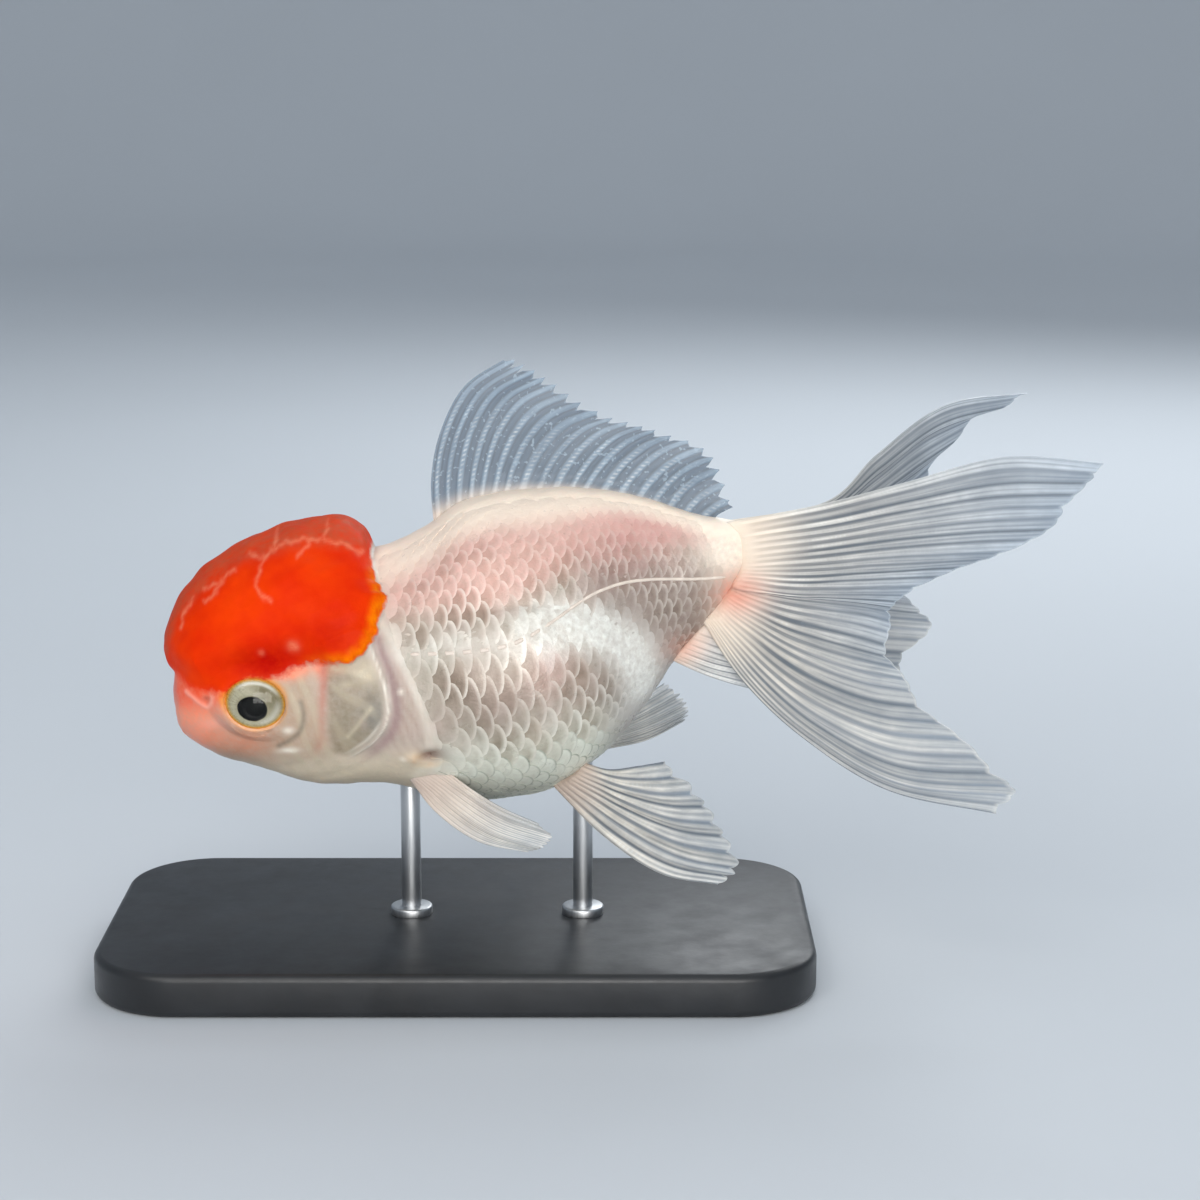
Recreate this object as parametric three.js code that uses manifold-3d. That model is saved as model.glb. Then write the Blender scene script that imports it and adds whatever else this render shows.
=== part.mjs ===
// Red-cap oranda goldfish, life size, held up by a plain display stand. Millimetres, +Z up.
//
// The fish faces -X and its left side faces -Y. It is modelled in a frame of its own: x runs to
// the tail, y to its right side and z to its back. That frame is pitched head-down and lifted
// above the stand. The origin of the model is the middle of the stand's underside.

import * as THREE from 'three';
import { mergeVertices } from 'three/addons/utils/BufferGeometryUtils.js';
import Module from 'manifold-3d';

// ---------------------------------------------------------------- driving dimensions

const PITCH = THREE.MathUtils.degToRad(10); // head-down tilt of the swimming fish
const FISH_LIFT = 53.5; // height of the fish frame's origin above the ground
const FISH_SHIFT = 2; // the fish frame's origin along X, so that the fish balances on its stand

const GAP = 0.3; // clearance between neighbouring pieces
const ROOM = 60; // cutting shapes reach this far from the fish's middle, well past its sides
const WELD = 1e-4; // points closer than this are one point
const BODY_STEP = 0.002; // how far apart the body is measured to find its slope
const FIN_STEP = 0.01; // the same on a fin
const RING_STEPS = 2; // loft rings from one body section to the next
const AROUND = 28; // points round each loft ring

// Body sections from snout to tail. Each row: the top point (x, z), the bottom point (x, z), half
// the width, and how far up from the bottom the widest place is.
const SECTIONS = [
  [-48.7, -2.4, -48.7, -2.4, 0, 0.5],
  [-48.3, 0.4, -48.5, -5.2, 3.4, 0.5],
  [-47.3, 3.6, -47.8, -7.8, 6.9, 0.5],
  [-46.1, 8.3, -45.7, -10.0, 9.8, 0.5],
  [-43.4, 12.8, -42.6, -12.4, 12.2, 0.49],
  [-39.2, 15.8, -38.5, -14.3, 14.0, 0.48],
  [-34.3, 17.2, -34.2, -16.5, 15.3, 0.47],
  [-29.1, 17.8, -29.2, -19.0, 16.2, 0.46],
  [-23.5, 17.9, -23.8, -20.2, 16.9, 0.46],
  [-18.0, 17.6, -18.4, -20.8, 17.6, 0.46],
  [-12.6, 16.6, -13.2, -22.7, 18.2, 0.46],
  [-7.5, 17.5, -8.2, -25.0, 18.6, 0.46],
  [-2.8, 19.2, -3.4, -26.6, 18.9, 0.45],
  [2.2, 21.6, 1.6, -27.0, 18.8, 0.44],
  [7.4, 22.3, 6.4, -27.2, 18.3, 0.44],
  [12.8, 22.0, 11.0, -26.0, 17.2, 0.44],
  [18.0, 21.4, 15.6, -23.6, 15.4, 0.45],
  [22.9, 20.4, 19.8, -20.9, 13.1, 0.47],
  [27.3, 19.0, 23.6, -17.2, 10.8, 0.5],
  [31.3, 17.3, 27.4, -14.3, 8.9, 0.52],
  [35.2, 15.3, 31.0, -10.4, 7.4, 0.54],
  [38.9, 13.3, 35.0, -7.2, 6.2, 0.56],
  [42.4, 12.1, 39.4, -4.6, 5.2, 0.56],
  [45.4, 11.3, 43.6, -2.0, 4.2, 0.56],
  [47.6, 9.6, 46.8, 1.2, 2.8, 0.56],
  [48.6, 5.4, 48.6, 5.4, 0, 0.56],
];

// The red cap (wen) is a thick pad over the skull. Its edge, seen from the side, as (x, z).
const CAP_EDGE = [
  [-50.5, 1.6],
  [-45.4, 0.8],
  [-41.7, -1.0],
  [-38.2, 1.0],
  [-33.9, 3.4],
  [-28.9, 2.7],
  [-22.0, 3.7],
  [-17.9, 3.5],
  [-14.5, 5.9],
  [-12.4, 8.8],
  [-11.4, 11.4],
  [-12.2, 14.4],
  [-13.0, 18.0],
  [-13.0, 30.0],
];
// Its thickness on the cheeks, over the snout and on the crown, how far in from its edge it is
// full, between which x it grows from snout to crown, and between which z from cheek to crown.
const CAP = {
  side: 2.4,
  front: 1.9,
  crown: 5.2,
  rounding: 5.5,
  alongX: [-47, -22],
  upZ: [4, 15],
};

// The belly is a dome on each flank. It is soft in front and steep behind: its softness changes
// from the first to the second between two x.
const BELLY = {
  x: 3,
  z: -9,
  halfLength: 25.5,
  halfHeight: 16,
  height: 2.2,
  softness: [1.6, 0.6],
  betweenX: [-8, 12],
};

// The gill cover, seen from the side, as (x, z), and how far from the middle its plate starts.
const GILL_EDGE = [
  [-24.0, 5.6],
  [-18.5, 6.4],
  [-14.6, 6.8],
  [-13.4, 2.8],
  [-12.8, 0.0],
  [-12.5, -2.8],
  [-12.7, -5.3],
  [-13.7, -7.8],
  [-15.7, -9.9],
  [-18.4, -11.7],
  [-21.6, -13.0],
  [-24.0, -10.5],
];
const GILL_DEPTH = 10.5;
const GILL_CENTRE = [-18.5, -4.5]; // the outline grows away from here

// Where the head ends and the trunk starts, from the chest up to under the cap, as (x, z).
const NECK = [[-11, -ROOM], [-11, 8], [-16, 16], [-16, ROOM]];
const STALK_X = 31; // the trunk ends and the tail stalk starts

const EYE = { x: -33.7, y: 11.9, z: -2, radius: 5.9 };

const FIN_THICKNESS = 0.6;

// Fins, each as a fan of key rays from its leading edge to its trailing edge. A ray is a row of
// points (x, y, z) from inside the body to the fin's free edge.
const DORSAL_RAYS = [
  [[-2.5, 0, 17.6], [-1.5, 0, 26.0], [1.5, 0, 33.5], [6.6, 0, 39.8], [14.7, 0, 43.3]],
  [[4.0, 0, 20.0], [6.0, 0, 26.4], [9.0, 0, 32.2], [13.4, 0, 36.6], [19.8, 0, 38.6]],
  [[12.0, 0, 20.6], [14.4, 0, 24.8], [17.6, 0, 28.4], [21.6, 0, 31.0], [26.7, 0, 32.0]],
  [[21.5, 0, 19.2], [24.2, 0, 22.2], [27.4, 0, 24.9], [31.0, 0, 26.8], [35.0, 0, 27.6]],
  [[31.0, 0, 15.8], [33.4, 0, 18.2], [36.4, 0, 20.4], [39.6, 0, 21.8], [43.0, 0, 22.4]],
  [[40.4, 0, 11.2], [41.6, 0, 12.0], [42.6, 0, 12.6], [43.8, 0, 13.0], [44.9, 0, 13.3]],
];
const PECTORAL_RAYS = [
  [[-12.9, -11.0, -18.2], [-9.2, -16.0, -23.4], [-3.2, -19.4, -28.3], [4.2, -22.0, -30.7]],
  [[-11.5, -12.0, -17.3], [-7.0, -16.5, -22.0], [-0.9, -19.9, -27.0], [6.8, -22.6, -30.3]],
  [[-10.0, -12.6, -16.4], [-5.2, -16.9, -20.4], [1.0, -20.2, -25.2], [8.5, -22.6, -28.6]],
  [[-8.6, -13.0, -15.2], [-4.4, -16.8, -19.0], [0.8, -19.6, -23.1], [6.4, -21.8, -26.4]],
];
const PELVIC_LEFT_RAYS = [
  [[8.4, -5.0, -24.6], [15.8, -11.0, -33.4], [24.0, -15.0, -39.9], [33.0, -18.3, -42.3]],
  [[10.2, -6.0, -24.0], [18.4, -11.6, -31.2], [27.0, -15.8, -36.8], [36.2, -19.0, -39.5]],
  [[11.8, -6.8, -23.4], [19.5, -12.0, -28.3], [27.2, -15.8, -32.0], [34.6, -18.8, -33.4]],
  [[13.2, -7.2, -22.8], [19.4, -11.8, -25.5], [25.8, -15.0, -27.2], [32.0, -17.8, -27.4]],
  [[14.2, -7.0, -21.8], [18.3, -10.3, -22.9], [22.9, -13.2, -22.5], [27.4, -16.0, -21.8]],
];
const PELVIC_RIGHT_RAYS = [
  [[9.3, 5.4, -24.4], [16.0, 11.5, -25.4], [24.0, 18.0, -26.8], [31.0, 24.5, -26.3]],
  [[11.0, 6.3, -23.8], [17.5, 12.5, -24.4], [25.0, 19.0, -25.0], [32.1, 26.0, -24.8]],
  [[12.6, 7.0, -23.1], [18.5, 13.2, -23.0], [25.0, 19.5, -22.7], [31.2, 26.0, -22.2]],
  [[14.2, 7.0, -21.8], [18.7, 13.2, -21.3], [24.0, 19.0, -20.0], [29.0, 25.0, -19.2]],
];
const ANAL_RAYS = [
  [[30.6, -1.8, -8.8], [36.2, -3.8, -12.1], [42.6, -5.0, -15.0], [49.5, -6.0, -17.6]],
  [[32.2, -2.1, -7.6], [38.0, -4.2, -10.6], [44.5, -5.4, -12.8], [50.5, -6.4, -14.6]],
  [[33.8, -2.3, -6.4], [38.6, -4.3, -9.0], [43.8, -5.5, -10.8], [48.5, -6.4, -12.0]],
  [[35.6, -2.4, -5.0], [39.2, -4.2, -7.2], [42.8, -5.3, -8.4], [45.5, -6.0, -9.2]],
];
const TAIL_LEFT_UPPER_RAYS = [
  [[45.0, -1.2, 9.8], [58.0, -6.4, 12.3], [71.0, -13.2, 14.9], [86.0, -21.6, 17.7], [100.2, -28.0, 15.3]],
  [[46.2, -2.2, 7.3], [58.5, -7.4, 8.6], [71.0, -13.8, 10.3], [83.5, -20.9, 11.5], [95.2, -27.6, 11.0]],
  [[46.2, -3.0, 4.6], [57.0, -8.0, 5.2], [68.5, -13.8, 5.8], [79.5, -19.8, 6.0], [89.6, -26.0, 5.8]],
  [[45.6, -3.4, 2.4], [54.5, -7.6, 2.2], [63.0, -11.8, 2.1], [71.0, -16.6, 2.1], [78.6, -22.0, 2.3]],
  [[44.6, -3.6, 0.4], [51.0, -7.4, -0.4], [57.0, -10.6, -0.9], [63.0, -14.0, -1.2], [68.7, -18.0, -1.4]],
];
const TAIL_LEFT_LOWER_RAYS = [
  [[44.4, -3.6, -0.2], [50.8, -7.5, -1.2], [56.5, -10.8, -2.2], [62.0, -13.8, -3.2], [66.3, -16.8, -4.2]],
  [[43.2, -3.8, -1.4], [49.4, -8.2, -4.2], [55.0, -11.2, -6.2], [60.4, -14.0, -8.0], [64.8, -16.4, -9.6]],
  [[41.9, -3.9, -2.5], [48.2, -8.6, -7.6], [54.4, -12.0, -11.4], [60.6, -15.0, -14.0], [66.8, -17.8, -15.6]],
  [[40.5, -4.0, -3.3], [46.4, -9.0, -11.2], [53.0, -12.9, -17.0], [61.8, -16.6, -21.6], [72.2, -20.4, -23.6]],
  [[39.0, -4.0, -3.8], [43.8, -8.9, -12.8], [51.6, -13.6, -21.6], [63.4, -18.0, -29.8], [80.2, -22.2, -33.0]],
  [[37.6, -3.9, -3.6], [41.6, -8.7, -12.7], [49.4, -13.4, -22.3], [61.0, -18.0, -31.7], [76.8, -21.6, -37.2]],
];
const TAIL_RIGHT_UPPER_RAYS = [
  [[45.0, 1.2, 9.8], [60.0, 7.0, 9.7], [70.0, 12.0, 15.6], [83.0, 19.2, 20.4], [97.9, 28.0, 18.4]],
  [[46.2, 2.2, 7.3], [59.0, 7.6, 7.4], [69.0, 13.0, 11.6], [79.0, 19.0, 15.6], [89.4, 25.6, 16.9]],
  [[46.2, 3.0, 4.6], [57.0, 8.4, 5.0], [66.6, 13.5, 7.0], [74.6, 18.4, 9.6], [81.0, 22.4, 12.2]],
  [[45.6, 3.4, 2.4], [54.5, 8.2, 2.0], [62.5, 12.3, 2.4], [70.0, 16.4, 3.4], [76.0, 20.0, 4.8]],
  [[44.6, 3.6, 0.4], [51.4, 7.8, -0.6], [57.6, 11.0, -1.4], [63.2, 13.6, -2.2], [68.2, 15.8, -2.8]],
];
const TAIL_RIGHT_LOWER_RAYS = [
  [[44.4, 3.6, -0.2], [51.2, 8.0, -1.6], [57.6, 11.2, -3.6], [64.0, 13.4, -6.2], [70.6, 14.2, -8.6]],
  [[43.0, 3.8, -1.6], [50.2, 8.8, -5.4], [58.4, 12.2, -9.4], [66.6, 14.4, -12.4], [74.6, 15.0, -14.6]],
  [[41.4, 4.0, -2.9], [48.0, 9.2, -10.0], [55.0, 12.8, -15.0], [61.8, 14.8, -18.4], [68.6, 15.0, -20.4]],
  [[39.6, 4.0, -3.7], [45.0, 9.2, -12.6], [52.4, 13.4, -20.0], [60.0, 15.6, -25.2], [67.6, 16.0, -28.2]],
  [[37.6, 3.9, -3.6], [42.2, 8.4, -13.2], [49.4, 13.0, -22.0], [58.8, 15.8, -29.2], [69.2, 16.2, -33.2]],
];

// The display stand: a flat base with rounded corners and two slim rods.
const BASE = { length: 114, width: 62, height: 7, corner: 14, chamfer: 1 };
const ROD_RADIUS = 1.6;
const ROD_FRONT_X = -8; // along X from the middle of the base
const ROD_REAR_X = 20;

// ---------------------------------------------------------------- curves and surfaces

// The point at t, from 0 to 1, on the smooth curve through rows of numbers.
function curveAt(rows, t, before = null, after = null) {
  const place = Math.min(Math.max(t, 0), 1) * (rows.length - 1);
  const i = Math.min(Math.floor(place), rows.length - 2);
  const f = place - i;
  const row = (k) => {
    if (k < 0) return before ?? rows[0].map((value, c) => 2 * value - rows[1][c]);
    if (k < rows.length) return rows[k];
    return after ?? rows[k - 1].map((value, c) => 2 * value - rows[k - 2][c]);
  };
  const [a, b, c, d] = [row(i - 1), row(i), row(i + 1), row(i + 2)];
  return b.map((value, k) => 0.5 * (2 * value + (c[k] - a[k]) * f
    + (2 * a[k] - 5 * value + 4 * c[k] - d[k]) * f * f
    + (3 * value - a[k] - 3 * c[k] + d[k]) * f * f * f));
}

// The section that continues a round cap through its pole: the next one, turned half way round.
function throughPole([topX, topZ, bottomX, bottomZ, halfWidth, widest]) {
  return [bottomX, bottomZ, topX, topZ, -halfWidth, widest];
}

const BEFORE_SNOUT = throughPole(SECTIONS[1]);
const AFTER_TAIL = throughPole(SECTIONS[SECTIONS.length - 2]);

// A point of the bare body: u runs from snout to tail, angle runs round from the back.
function bodyPoint(u, angle) {
  const [topX, topZ, bottomX, bottomZ, halfWidth, widest] = curveAt(SECTIONS, u, BEFORE_SNOUT, AFTER_TAIL);
  const top = new THREE.Vector3(topX, 0, topZ);
  const bottom = new THREE.Vector3(bottomX, 0, bottomZ);
  const middle = bottom.clone().lerp(top, widest);
  const rise = Math.cos(angle);
  const spine = (rise > 0 ? top : bottom).sub(middle).multiplyScalar(Math.abs(rise));
  return middle.add(spine).setY(halfWidth * Math.sin(angle));
}

function bodyNormal(u, angle) {
  const ahead = bodyPoint(Math.max(u - BODY_STEP, 0), angle);
  const along = bodyPoint(Math.min(u + BODY_STEP, 1), angle).sub(ahead);
  const around = bodyPoint(u, angle + BODY_STEP).sub(bodyPoint(u, angle - BODY_STEP));
  return along.cross(around).normalize();
}

function smoothStep([low, high], value) {
  return THREE.MathUtils.smoothstep(value, low, high);
}

// An outline through hand-set points, sampled as short straight stretches.
function sampleOutline(points, perStretch) {
  const count = (points.length - 1) * perStretch;
  return Array.from({ length: count + 1 }, (_, i) => curveAt(points, i / count));
}

const CAP_SAMPLES = sampleOutline(CAP_EDGE, 3);

// How far (x, z) is inside the cap's edge, seen from the side. Outside it is negative.
function insideCap(x, z) {
  let nearest = Infinity;
  let side = 1;
  for (let i = 1; i < CAP_SAMPLES.length; i += 1) {
    const [ax, az] = CAP_SAMPLES[i - 1];
    const [bx, bz] = CAP_SAMPLES[i];
    const length2 = (bx - ax) ** 2 + (bz - az) ** 2;
    const t = THREE.MathUtils.clamp(((x - ax) * (bx - ax) + (z - az) * (bz - az)) / length2, 0, 1);
    const distance = Math.hypot(x - ax - t * (bx - ax), z - az - t * (bz - az));
    if (distance < nearest) {
      nearest = distance;
      side = Math.sign((bx - ax) * (z - az) - (bz - az) * (x - ax));
    }
  }
  return side * nearest;
}

// The cap's height over the skull: a pad with a round edge, thickest on the crown.
function capHeight(x, z) {
  const inside = insideCap(x, z);
  if (inside <= 0) return 0;
  const edge = 1 - Math.min(inside / CAP.rounding, 1);
  const top = THREE.MathUtils.lerp(CAP.front, CAP.crown, smoothStep(CAP.alongX, x));
  const full = THREE.MathUtils.lerp(Math.min(CAP.side, top), top, smoothStep(CAP.upZ, z));
  return full * Math.sqrt(1 - edge * edge);
}

// The belly dome's height over the flank.
function bellyHeight(x, z) {
  const inside = 1 - ((x - BELLY.x) / BELLY.halfLength) ** 2 - ((z - BELLY.z) / BELLY.halfHeight) ** 2;
  if (inside <= 0) return 0;
  const softness = THREE.MathUtils.lerp(...BELLY.softness, smoothStep(BELLY.betweenX, x));
  return BELLY.height * inside ** softness;
}

// A point of the flesh's outside, moved out by an offset.
function fleshPoint(u, angle, offset) {
  const point = bodyPoint(u, angle);
  const height = capHeight(point.x, point.z) + bellyHeight(point.x, point.z);
  return point.addScaledVector(bodyNormal(u, angle), height + offset);
}

// ---------------------------------------------------------------- solids

const wasm = await Module();
wasm.setup();

function meshFromTriangles(positions, indices) {
  const geometry = new THREE.BufferGeometry();
  geometry.setAttribute('position', new THREE.Float32BufferAttribute(positions, 3));
  geometry.setIndex(indices);
  return geometry;
}

function solidOf(geometry) {
  const bare = geometry.clone();
  bare.deleteAttribute('normal');
  bare.deleteAttribute('uv');
  const merged = mergeVertices(bare, WELD);
  const vertProperties = new Float32Array(merged.getAttribute('position').array);
  const triVerts = new Uint32Array(merged.getIndex().array);
  return new wasm.Manifold(new wasm.Mesh({ numProp: 3, vertProperties, triVerts }));
}

function geometryOf(solid) {
  const { vertProperties, triVerts } = solid.getMesh();
  return meshFromTriangles(vertProperties, Array.from(triVerts));
}

// The whole flesh as one closed loft with a pole at each end.
function makeFlesh(offset) {
  const rings = (SECTIONS.length - 1) * RING_STEPS;
  const positions = [];
  for (let i = 1; i < rings; i += 1) {
    for (let j = 0; j < AROUND; j += 1) {
      positions.push(...fleshPoint(i / rings, (2 * Math.PI * j) / AROUND, offset).toArray());
    }
  }
  const snout = positions.length / 3;
  positions.push(SECTIONS[0][0] - offset, 0, SECTIONS[0][1]);
  positions.push(SECTIONS[SECTIONS.length - 1][0] + offset, 0, SECTIONS[SECTIONS.length - 1][1]);
  const indices = [];
  for (let j = 0; j < AROUND; j += 1) {
    const next = (j + 1) % AROUND;
    const last = (rings - 2) * AROUND;
    indices.push(snout, j, next, snout + 1, last + next, last + j);
    for (let i = 0; i < rings - 2; i += 1) {
      const a = i * AROUND;
      const b = a + AROUND;
      indices.push(a + j, b + j, a + next, b + j, b + next, a + next);
    }
  }
  return solidOf(meshFromTriangles(positions, indices));
}

// A flat outline in x and z, pushed through the fish from y = from to y = to.
function makeSlab(outline, from, to) {
  const shape = new THREE.Shape(outline.map(([x, z]) => new THREE.Vector2(x, z)));
  const geometry = new THREE.ExtrudeGeometry(shape, { depth: to - from, bevelEnabled: false });
  geometry.rotateX(Math.PI / 2);
  geometry.translate(0, to, 0);
  return solidOf(geometry);
}

// The room of the head, with its neck side moved forward by an offset.
function makeHeadRoom(offset) {
  const neck = NECK.map(([x, z]) => [x - offset, z]);
  return makeSlab([[-ROOM, -ROOM], ...neck, [-ROOM, ROOM]], -ROOM, ROOM);
}

// The room of the tail stalk, with its front moved back by an offset.
function makeStalkRoom(offset) {
  const front = STALK_X + offset;
  return makeSlab([[front, -ROOM], [ROOM, -ROOM], [ROOM, ROOM], [front, ROOM]], -ROOM, ROOM);
}

// The room that the cap takes, its edge moved out by an offset.
function makeCapRoom(offset) {
  const edge = CAP_SAMPLES.map(([x, z], i) => {
    const [ax, az] = CAP_SAMPLES[Math.max(i - 1, 0)];
    const [bx, bz] = CAP_SAMPLES[Math.min(i + 1, CAP_SAMPLES.length - 1)];
    const length = Math.hypot(bx - ax, bz - az);
    return [x + (offset * (bz - az)) / length, z - (offset * (bx - ax)) / length];
  });
  const last = edge[edge.length - 1];
  return makeSlab([[-ROOM, edge[0][1]], ...edge, [last[0], ROOM], [-ROOM, ROOM]], -ROOM, ROOM);
}

// The room that a gill cover takes on one side (-1 left, 1 right), grown by an offset.
function makeGillRoom(side, offset) {
  const centre = new THREE.Vector2(...GILL_CENTRE);
  const outline = sampleOutline([...GILL_EDGE, GILL_EDGE[0]], 2).slice(0, -1).map(([x, z]) => {
    const out = new THREE.Vector2(x, z).sub(centre);
    out.setLength(out.length() + offset).add(centre);
    return [out.x, out.y];
  });
  const inner = GILL_DEPTH - offset;
  return side < 0 ? makeSlab(outline, -ROOM, -inner) : makeSlab(outline, inner, ROOM);
}

function makeEyeball(side, offset) {
  const geometry = new THREE.SphereGeometry(EYE.radius + offset, 16, 10);
  geometry.rotateX(Math.PI / 2);
  geometry.translate(EYE.x, side * EYE.y, EYE.z);
  return solidOf(geometry);
}

// A fin: a thin sheet through its key rays, with the flesh's room cut from its root.
function makeFin(rays, columns, rows, flesh) {
  const centre = (s, t) => new THREE.Vector3(...curveAt(rays.map((ray) => curveAt(ray, s)), t));
  const point = (s, t, side) => {
    const along = centre(Math.min(s + FIN_STEP, 1), t).sub(centre(Math.max(s - FIN_STEP, 0), t));
    const across = centre(s, Math.min(t + FIN_STEP, 1)).sub(centre(s, Math.max(t - FIN_STEP, 0)));
    return centre(s, t).addScaledVector(along.cross(across).normalize(), (side * FIN_THICKNESS) / 2);
  };
  const width = columns + 1;
  const sheet = width * (rows + 1);
  const positions = [];
  for (const side of [1, -1]) {
    for (let i = 0; i <= rows; i += 1) {
      for (let j = 0; j <= columns; j += 1) positions.push(...point(i / rows, j / columns, side).toArray());
    }
  }
  const indices = [];
  for (let i = 0; i < rows; i += 1) {
    for (let j = 0; j < columns; j += 1) {
      const a = i * width + j;
      const b = a + width;
      indices.push(a, b, a + 1, a + 1, b, b + 1);
      indices.push(sheet + a, sheet + a + 1, sheet + b, sheet + a + 1, sheet + b + 1, sheet + b);
    }
  }
  const rim = [];
  for (let j = 0; j < columns; j += 1) rim.push(j);
  for (let i = 0; i < rows; i += 1) rim.push(i * width + columns);
  for (let j = columns; j > 0; j -= 1) rim.push(rows * width + j);
  for (let i = rows; i > 0; i -= 1) rim.push(i * width);
  rim.forEach((a, k) => {
    const b = rim[(k + 1) % rim.length];
    indices.push(a, b, sheet + a, b, sheet + b, sheet + a);
  });
  return solidOf(meshFromTriangles(positions, indices)).subtract(flesh);
}

function mirrored(rays) {
  return rays.map((ray) => ray.map(([x, y, z]) => [x, -y, z])).reverse();
}

// ---------------------------------------------------------------- finishes

const finish = (color, roughness, metalness = 0) => (
  new THREE.MeshStandardMaterial({ color, roughness, metalness })
);

const CAP_RED = finish('#e23c08', 0.45);
const CHEEK_SKIN = finish('#c9a791', 0.4);
const GILL_SILVER = finish('#b3aca1', 0.3, 0.2);
const SCALED_SKIN = finish('#cfc8bd', 0.3, 0.2);
const EYE_DARK = finish('#2a2a1e', 0.1);
const FIN_MEMBRANE = finish('#b9c4d0', 0.35);
const STAND_BLACK = finish('#1d1d1f', 0.5);
const ROD_STEEL = finish('#b8babd', 0.3, 1);

// ---------------------------------------------------------------- the fish

const fish = new THREE.Group();
fish.rotation.y = -PITCH;
fish.position.set(FISH_SHIFT, 0, FISH_LIFT);

function addPiece(parent, name, solid, material) {
  const mesh = new THREE.Mesh(geometryOf(solid), material);
  mesh.name = name;
  parent.add(mesh);
}

const flesh = makeFlesh(0);
const fleshRoom = makeFlesh(GAP);

function addFlesh() {
  const cap = makeCapRoom(0);
  const notCap = flesh.subtract(makeCapRoom(GAP));
  const eyes = makeEyeball(-1, GAP).add(makeEyeball(1, GAP));
  const gills = makeGillRoom(-1, GAP).add(makeGillRoom(1, GAP));
  const face = notCap.intersect(makeHeadRoom(GAP));
  addPiece(fish, 'head', face.subtract(eyes).subtract(gills), CHEEK_SKIN);
  addPiece(fish, 'wen', flesh.intersect(cap).subtract(eyes), CAP_RED);
  addPiece(fish, 'gill_cover_left', face.intersect(makeGillRoom(-1, 0)), GILL_SILVER);
  addPiece(fish, 'gill_cover_right', face.intersect(makeGillRoom(1, 0)), GILL_SILVER);
  const behind = notCap.subtract(makeHeadRoom(0));
  addPiece(fish, 'trunk', behind.subtract(makeStalkRoom(0)), SCALED_SKIN);
  addPiece(fish, 'tail_stalk', flesh.intersect(makeStalkRoom(GAP)), SCALED_SKIN);
}

function addEyes() {
  addPiece(fish, 'eye_left', makeEyeball(-1, 0), EYE_DARK);
  addPiece(fish, 'eye_right', makeEyeball(1, 0), EYE_DARK);
}

function addFins() {
  const fins = [
    ['dorsal_fin', DORSAL_RAYS, 10, 6],
    ['pectoral_fin_left', PECTORAL_RAYS, 4, 6],
    ['pectoral_fin_right', mirrored(PECTORAL_RAYS), 4, 6],
    ['pelvic_fin_left', PELVIC_LEFT_RAYS, 8, 6],
    ['pelvic_fin_right', PELVIC_RIGHT_RAYS, 6, 6],
    ['anal_fin_left', ANAL_RAYS, 4, 5],
    ['anal_fin_right', mirrored(ANAL_RAYS), 4, 5],
    ['tail_fin_left_upper', TAIL_LEFT_UPPER_RAYS, 8, 9],
    ['tail_fin_left_lower', TAIL_LEFT_LOWER_RAYS, 8, 9],
    ['tail_fin_right_upper', TAIL_RIGHT_UPPER_RAYS, 8, 9],
    ['tail_fin_right_lower', TAIL_RIGHT_LOWER_RAYS, 8, 9],
  ];
  for (const [name, rays, columns, rows] of fins) {
    addPiece(fish, name, makeFin(rays, columns, rows, fleshRoom), FIN_MEMBRANE);
  }
}

// ---------------------------------------------------------------- the stand

const model = new THREE.Group();

function addStandBase() {
  const { length, width, height, corner, chamfer } = BASE;
  const x = length / 2 - chamfer;
  const y = width / 2 - chamfer;
  const r = corner - chamfer;
  const shape = new THREE.Shape();
  shape.absarc(x - r, y - r, r, 0, Math.PI / 2);
  shape.absarc(-x + r, y - r, r, Math.PI / 2, Math.PI);
  shape.absarc(-x + r, -y + r, r, Math.PI, 1.5 * Math.PI);
  shape.absarc(x - r, -y + r, r, 1.5 * Math.PI, 2 * Math.PI);
  const geometry = new THREE.ExtrudeGeometry(shape, {
    depth: height - 2 * chamfer,
    bevelThickness: chamfer,
    bevelSize: chamfer,
    bevelSegments: 1,
    curveSegments: 5,
  });
  geometry.translate(0, 0, chamfer);
  addPiece(model, 'stand_base', solidOf(geometry), STAND_BLACK);
}

// A rod from the base up to the belly, its top shaped to the belly with a clearance.
function addRod(name, x) {
  fish.updateMatrix();
  const room = fleshRoom.transform(fish.matrix.toArray());
  const bottom = BASE.height + GAP;
  const top = FISH_LIFT;
  const geometry = new THREE.CylinderGeometry(ROD_RADIUS, ROD_RADIUS, top - bottom, 16);
  geometry.rotateX(Math.PI / 2);
  geometry.translate(x, 0, (top + bottom) / 2);
  addPiece(model, name, solidOf(geometry).subtract(room), ROD_STEEL);
}

addFlesh();
addEyes();
addFins();
addStandBase();
addRod('stand_rod_front', ROD_FRONT_X);
addRod('stand_rod_rear', ROD_REAR_X);
model.add(fish);

export default model;
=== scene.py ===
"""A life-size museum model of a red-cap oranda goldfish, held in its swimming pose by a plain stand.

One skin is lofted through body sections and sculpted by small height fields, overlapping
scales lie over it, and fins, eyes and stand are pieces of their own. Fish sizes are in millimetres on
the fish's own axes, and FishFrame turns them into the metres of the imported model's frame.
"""

import logging
import math
from dataclasses import dataclass, field
from enum import Enum
from typing import Callable, Iterable, Optional, Sequence

import bmesh
import bpy
import numpy as np
from mathutils import Matrix, Vector


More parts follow.
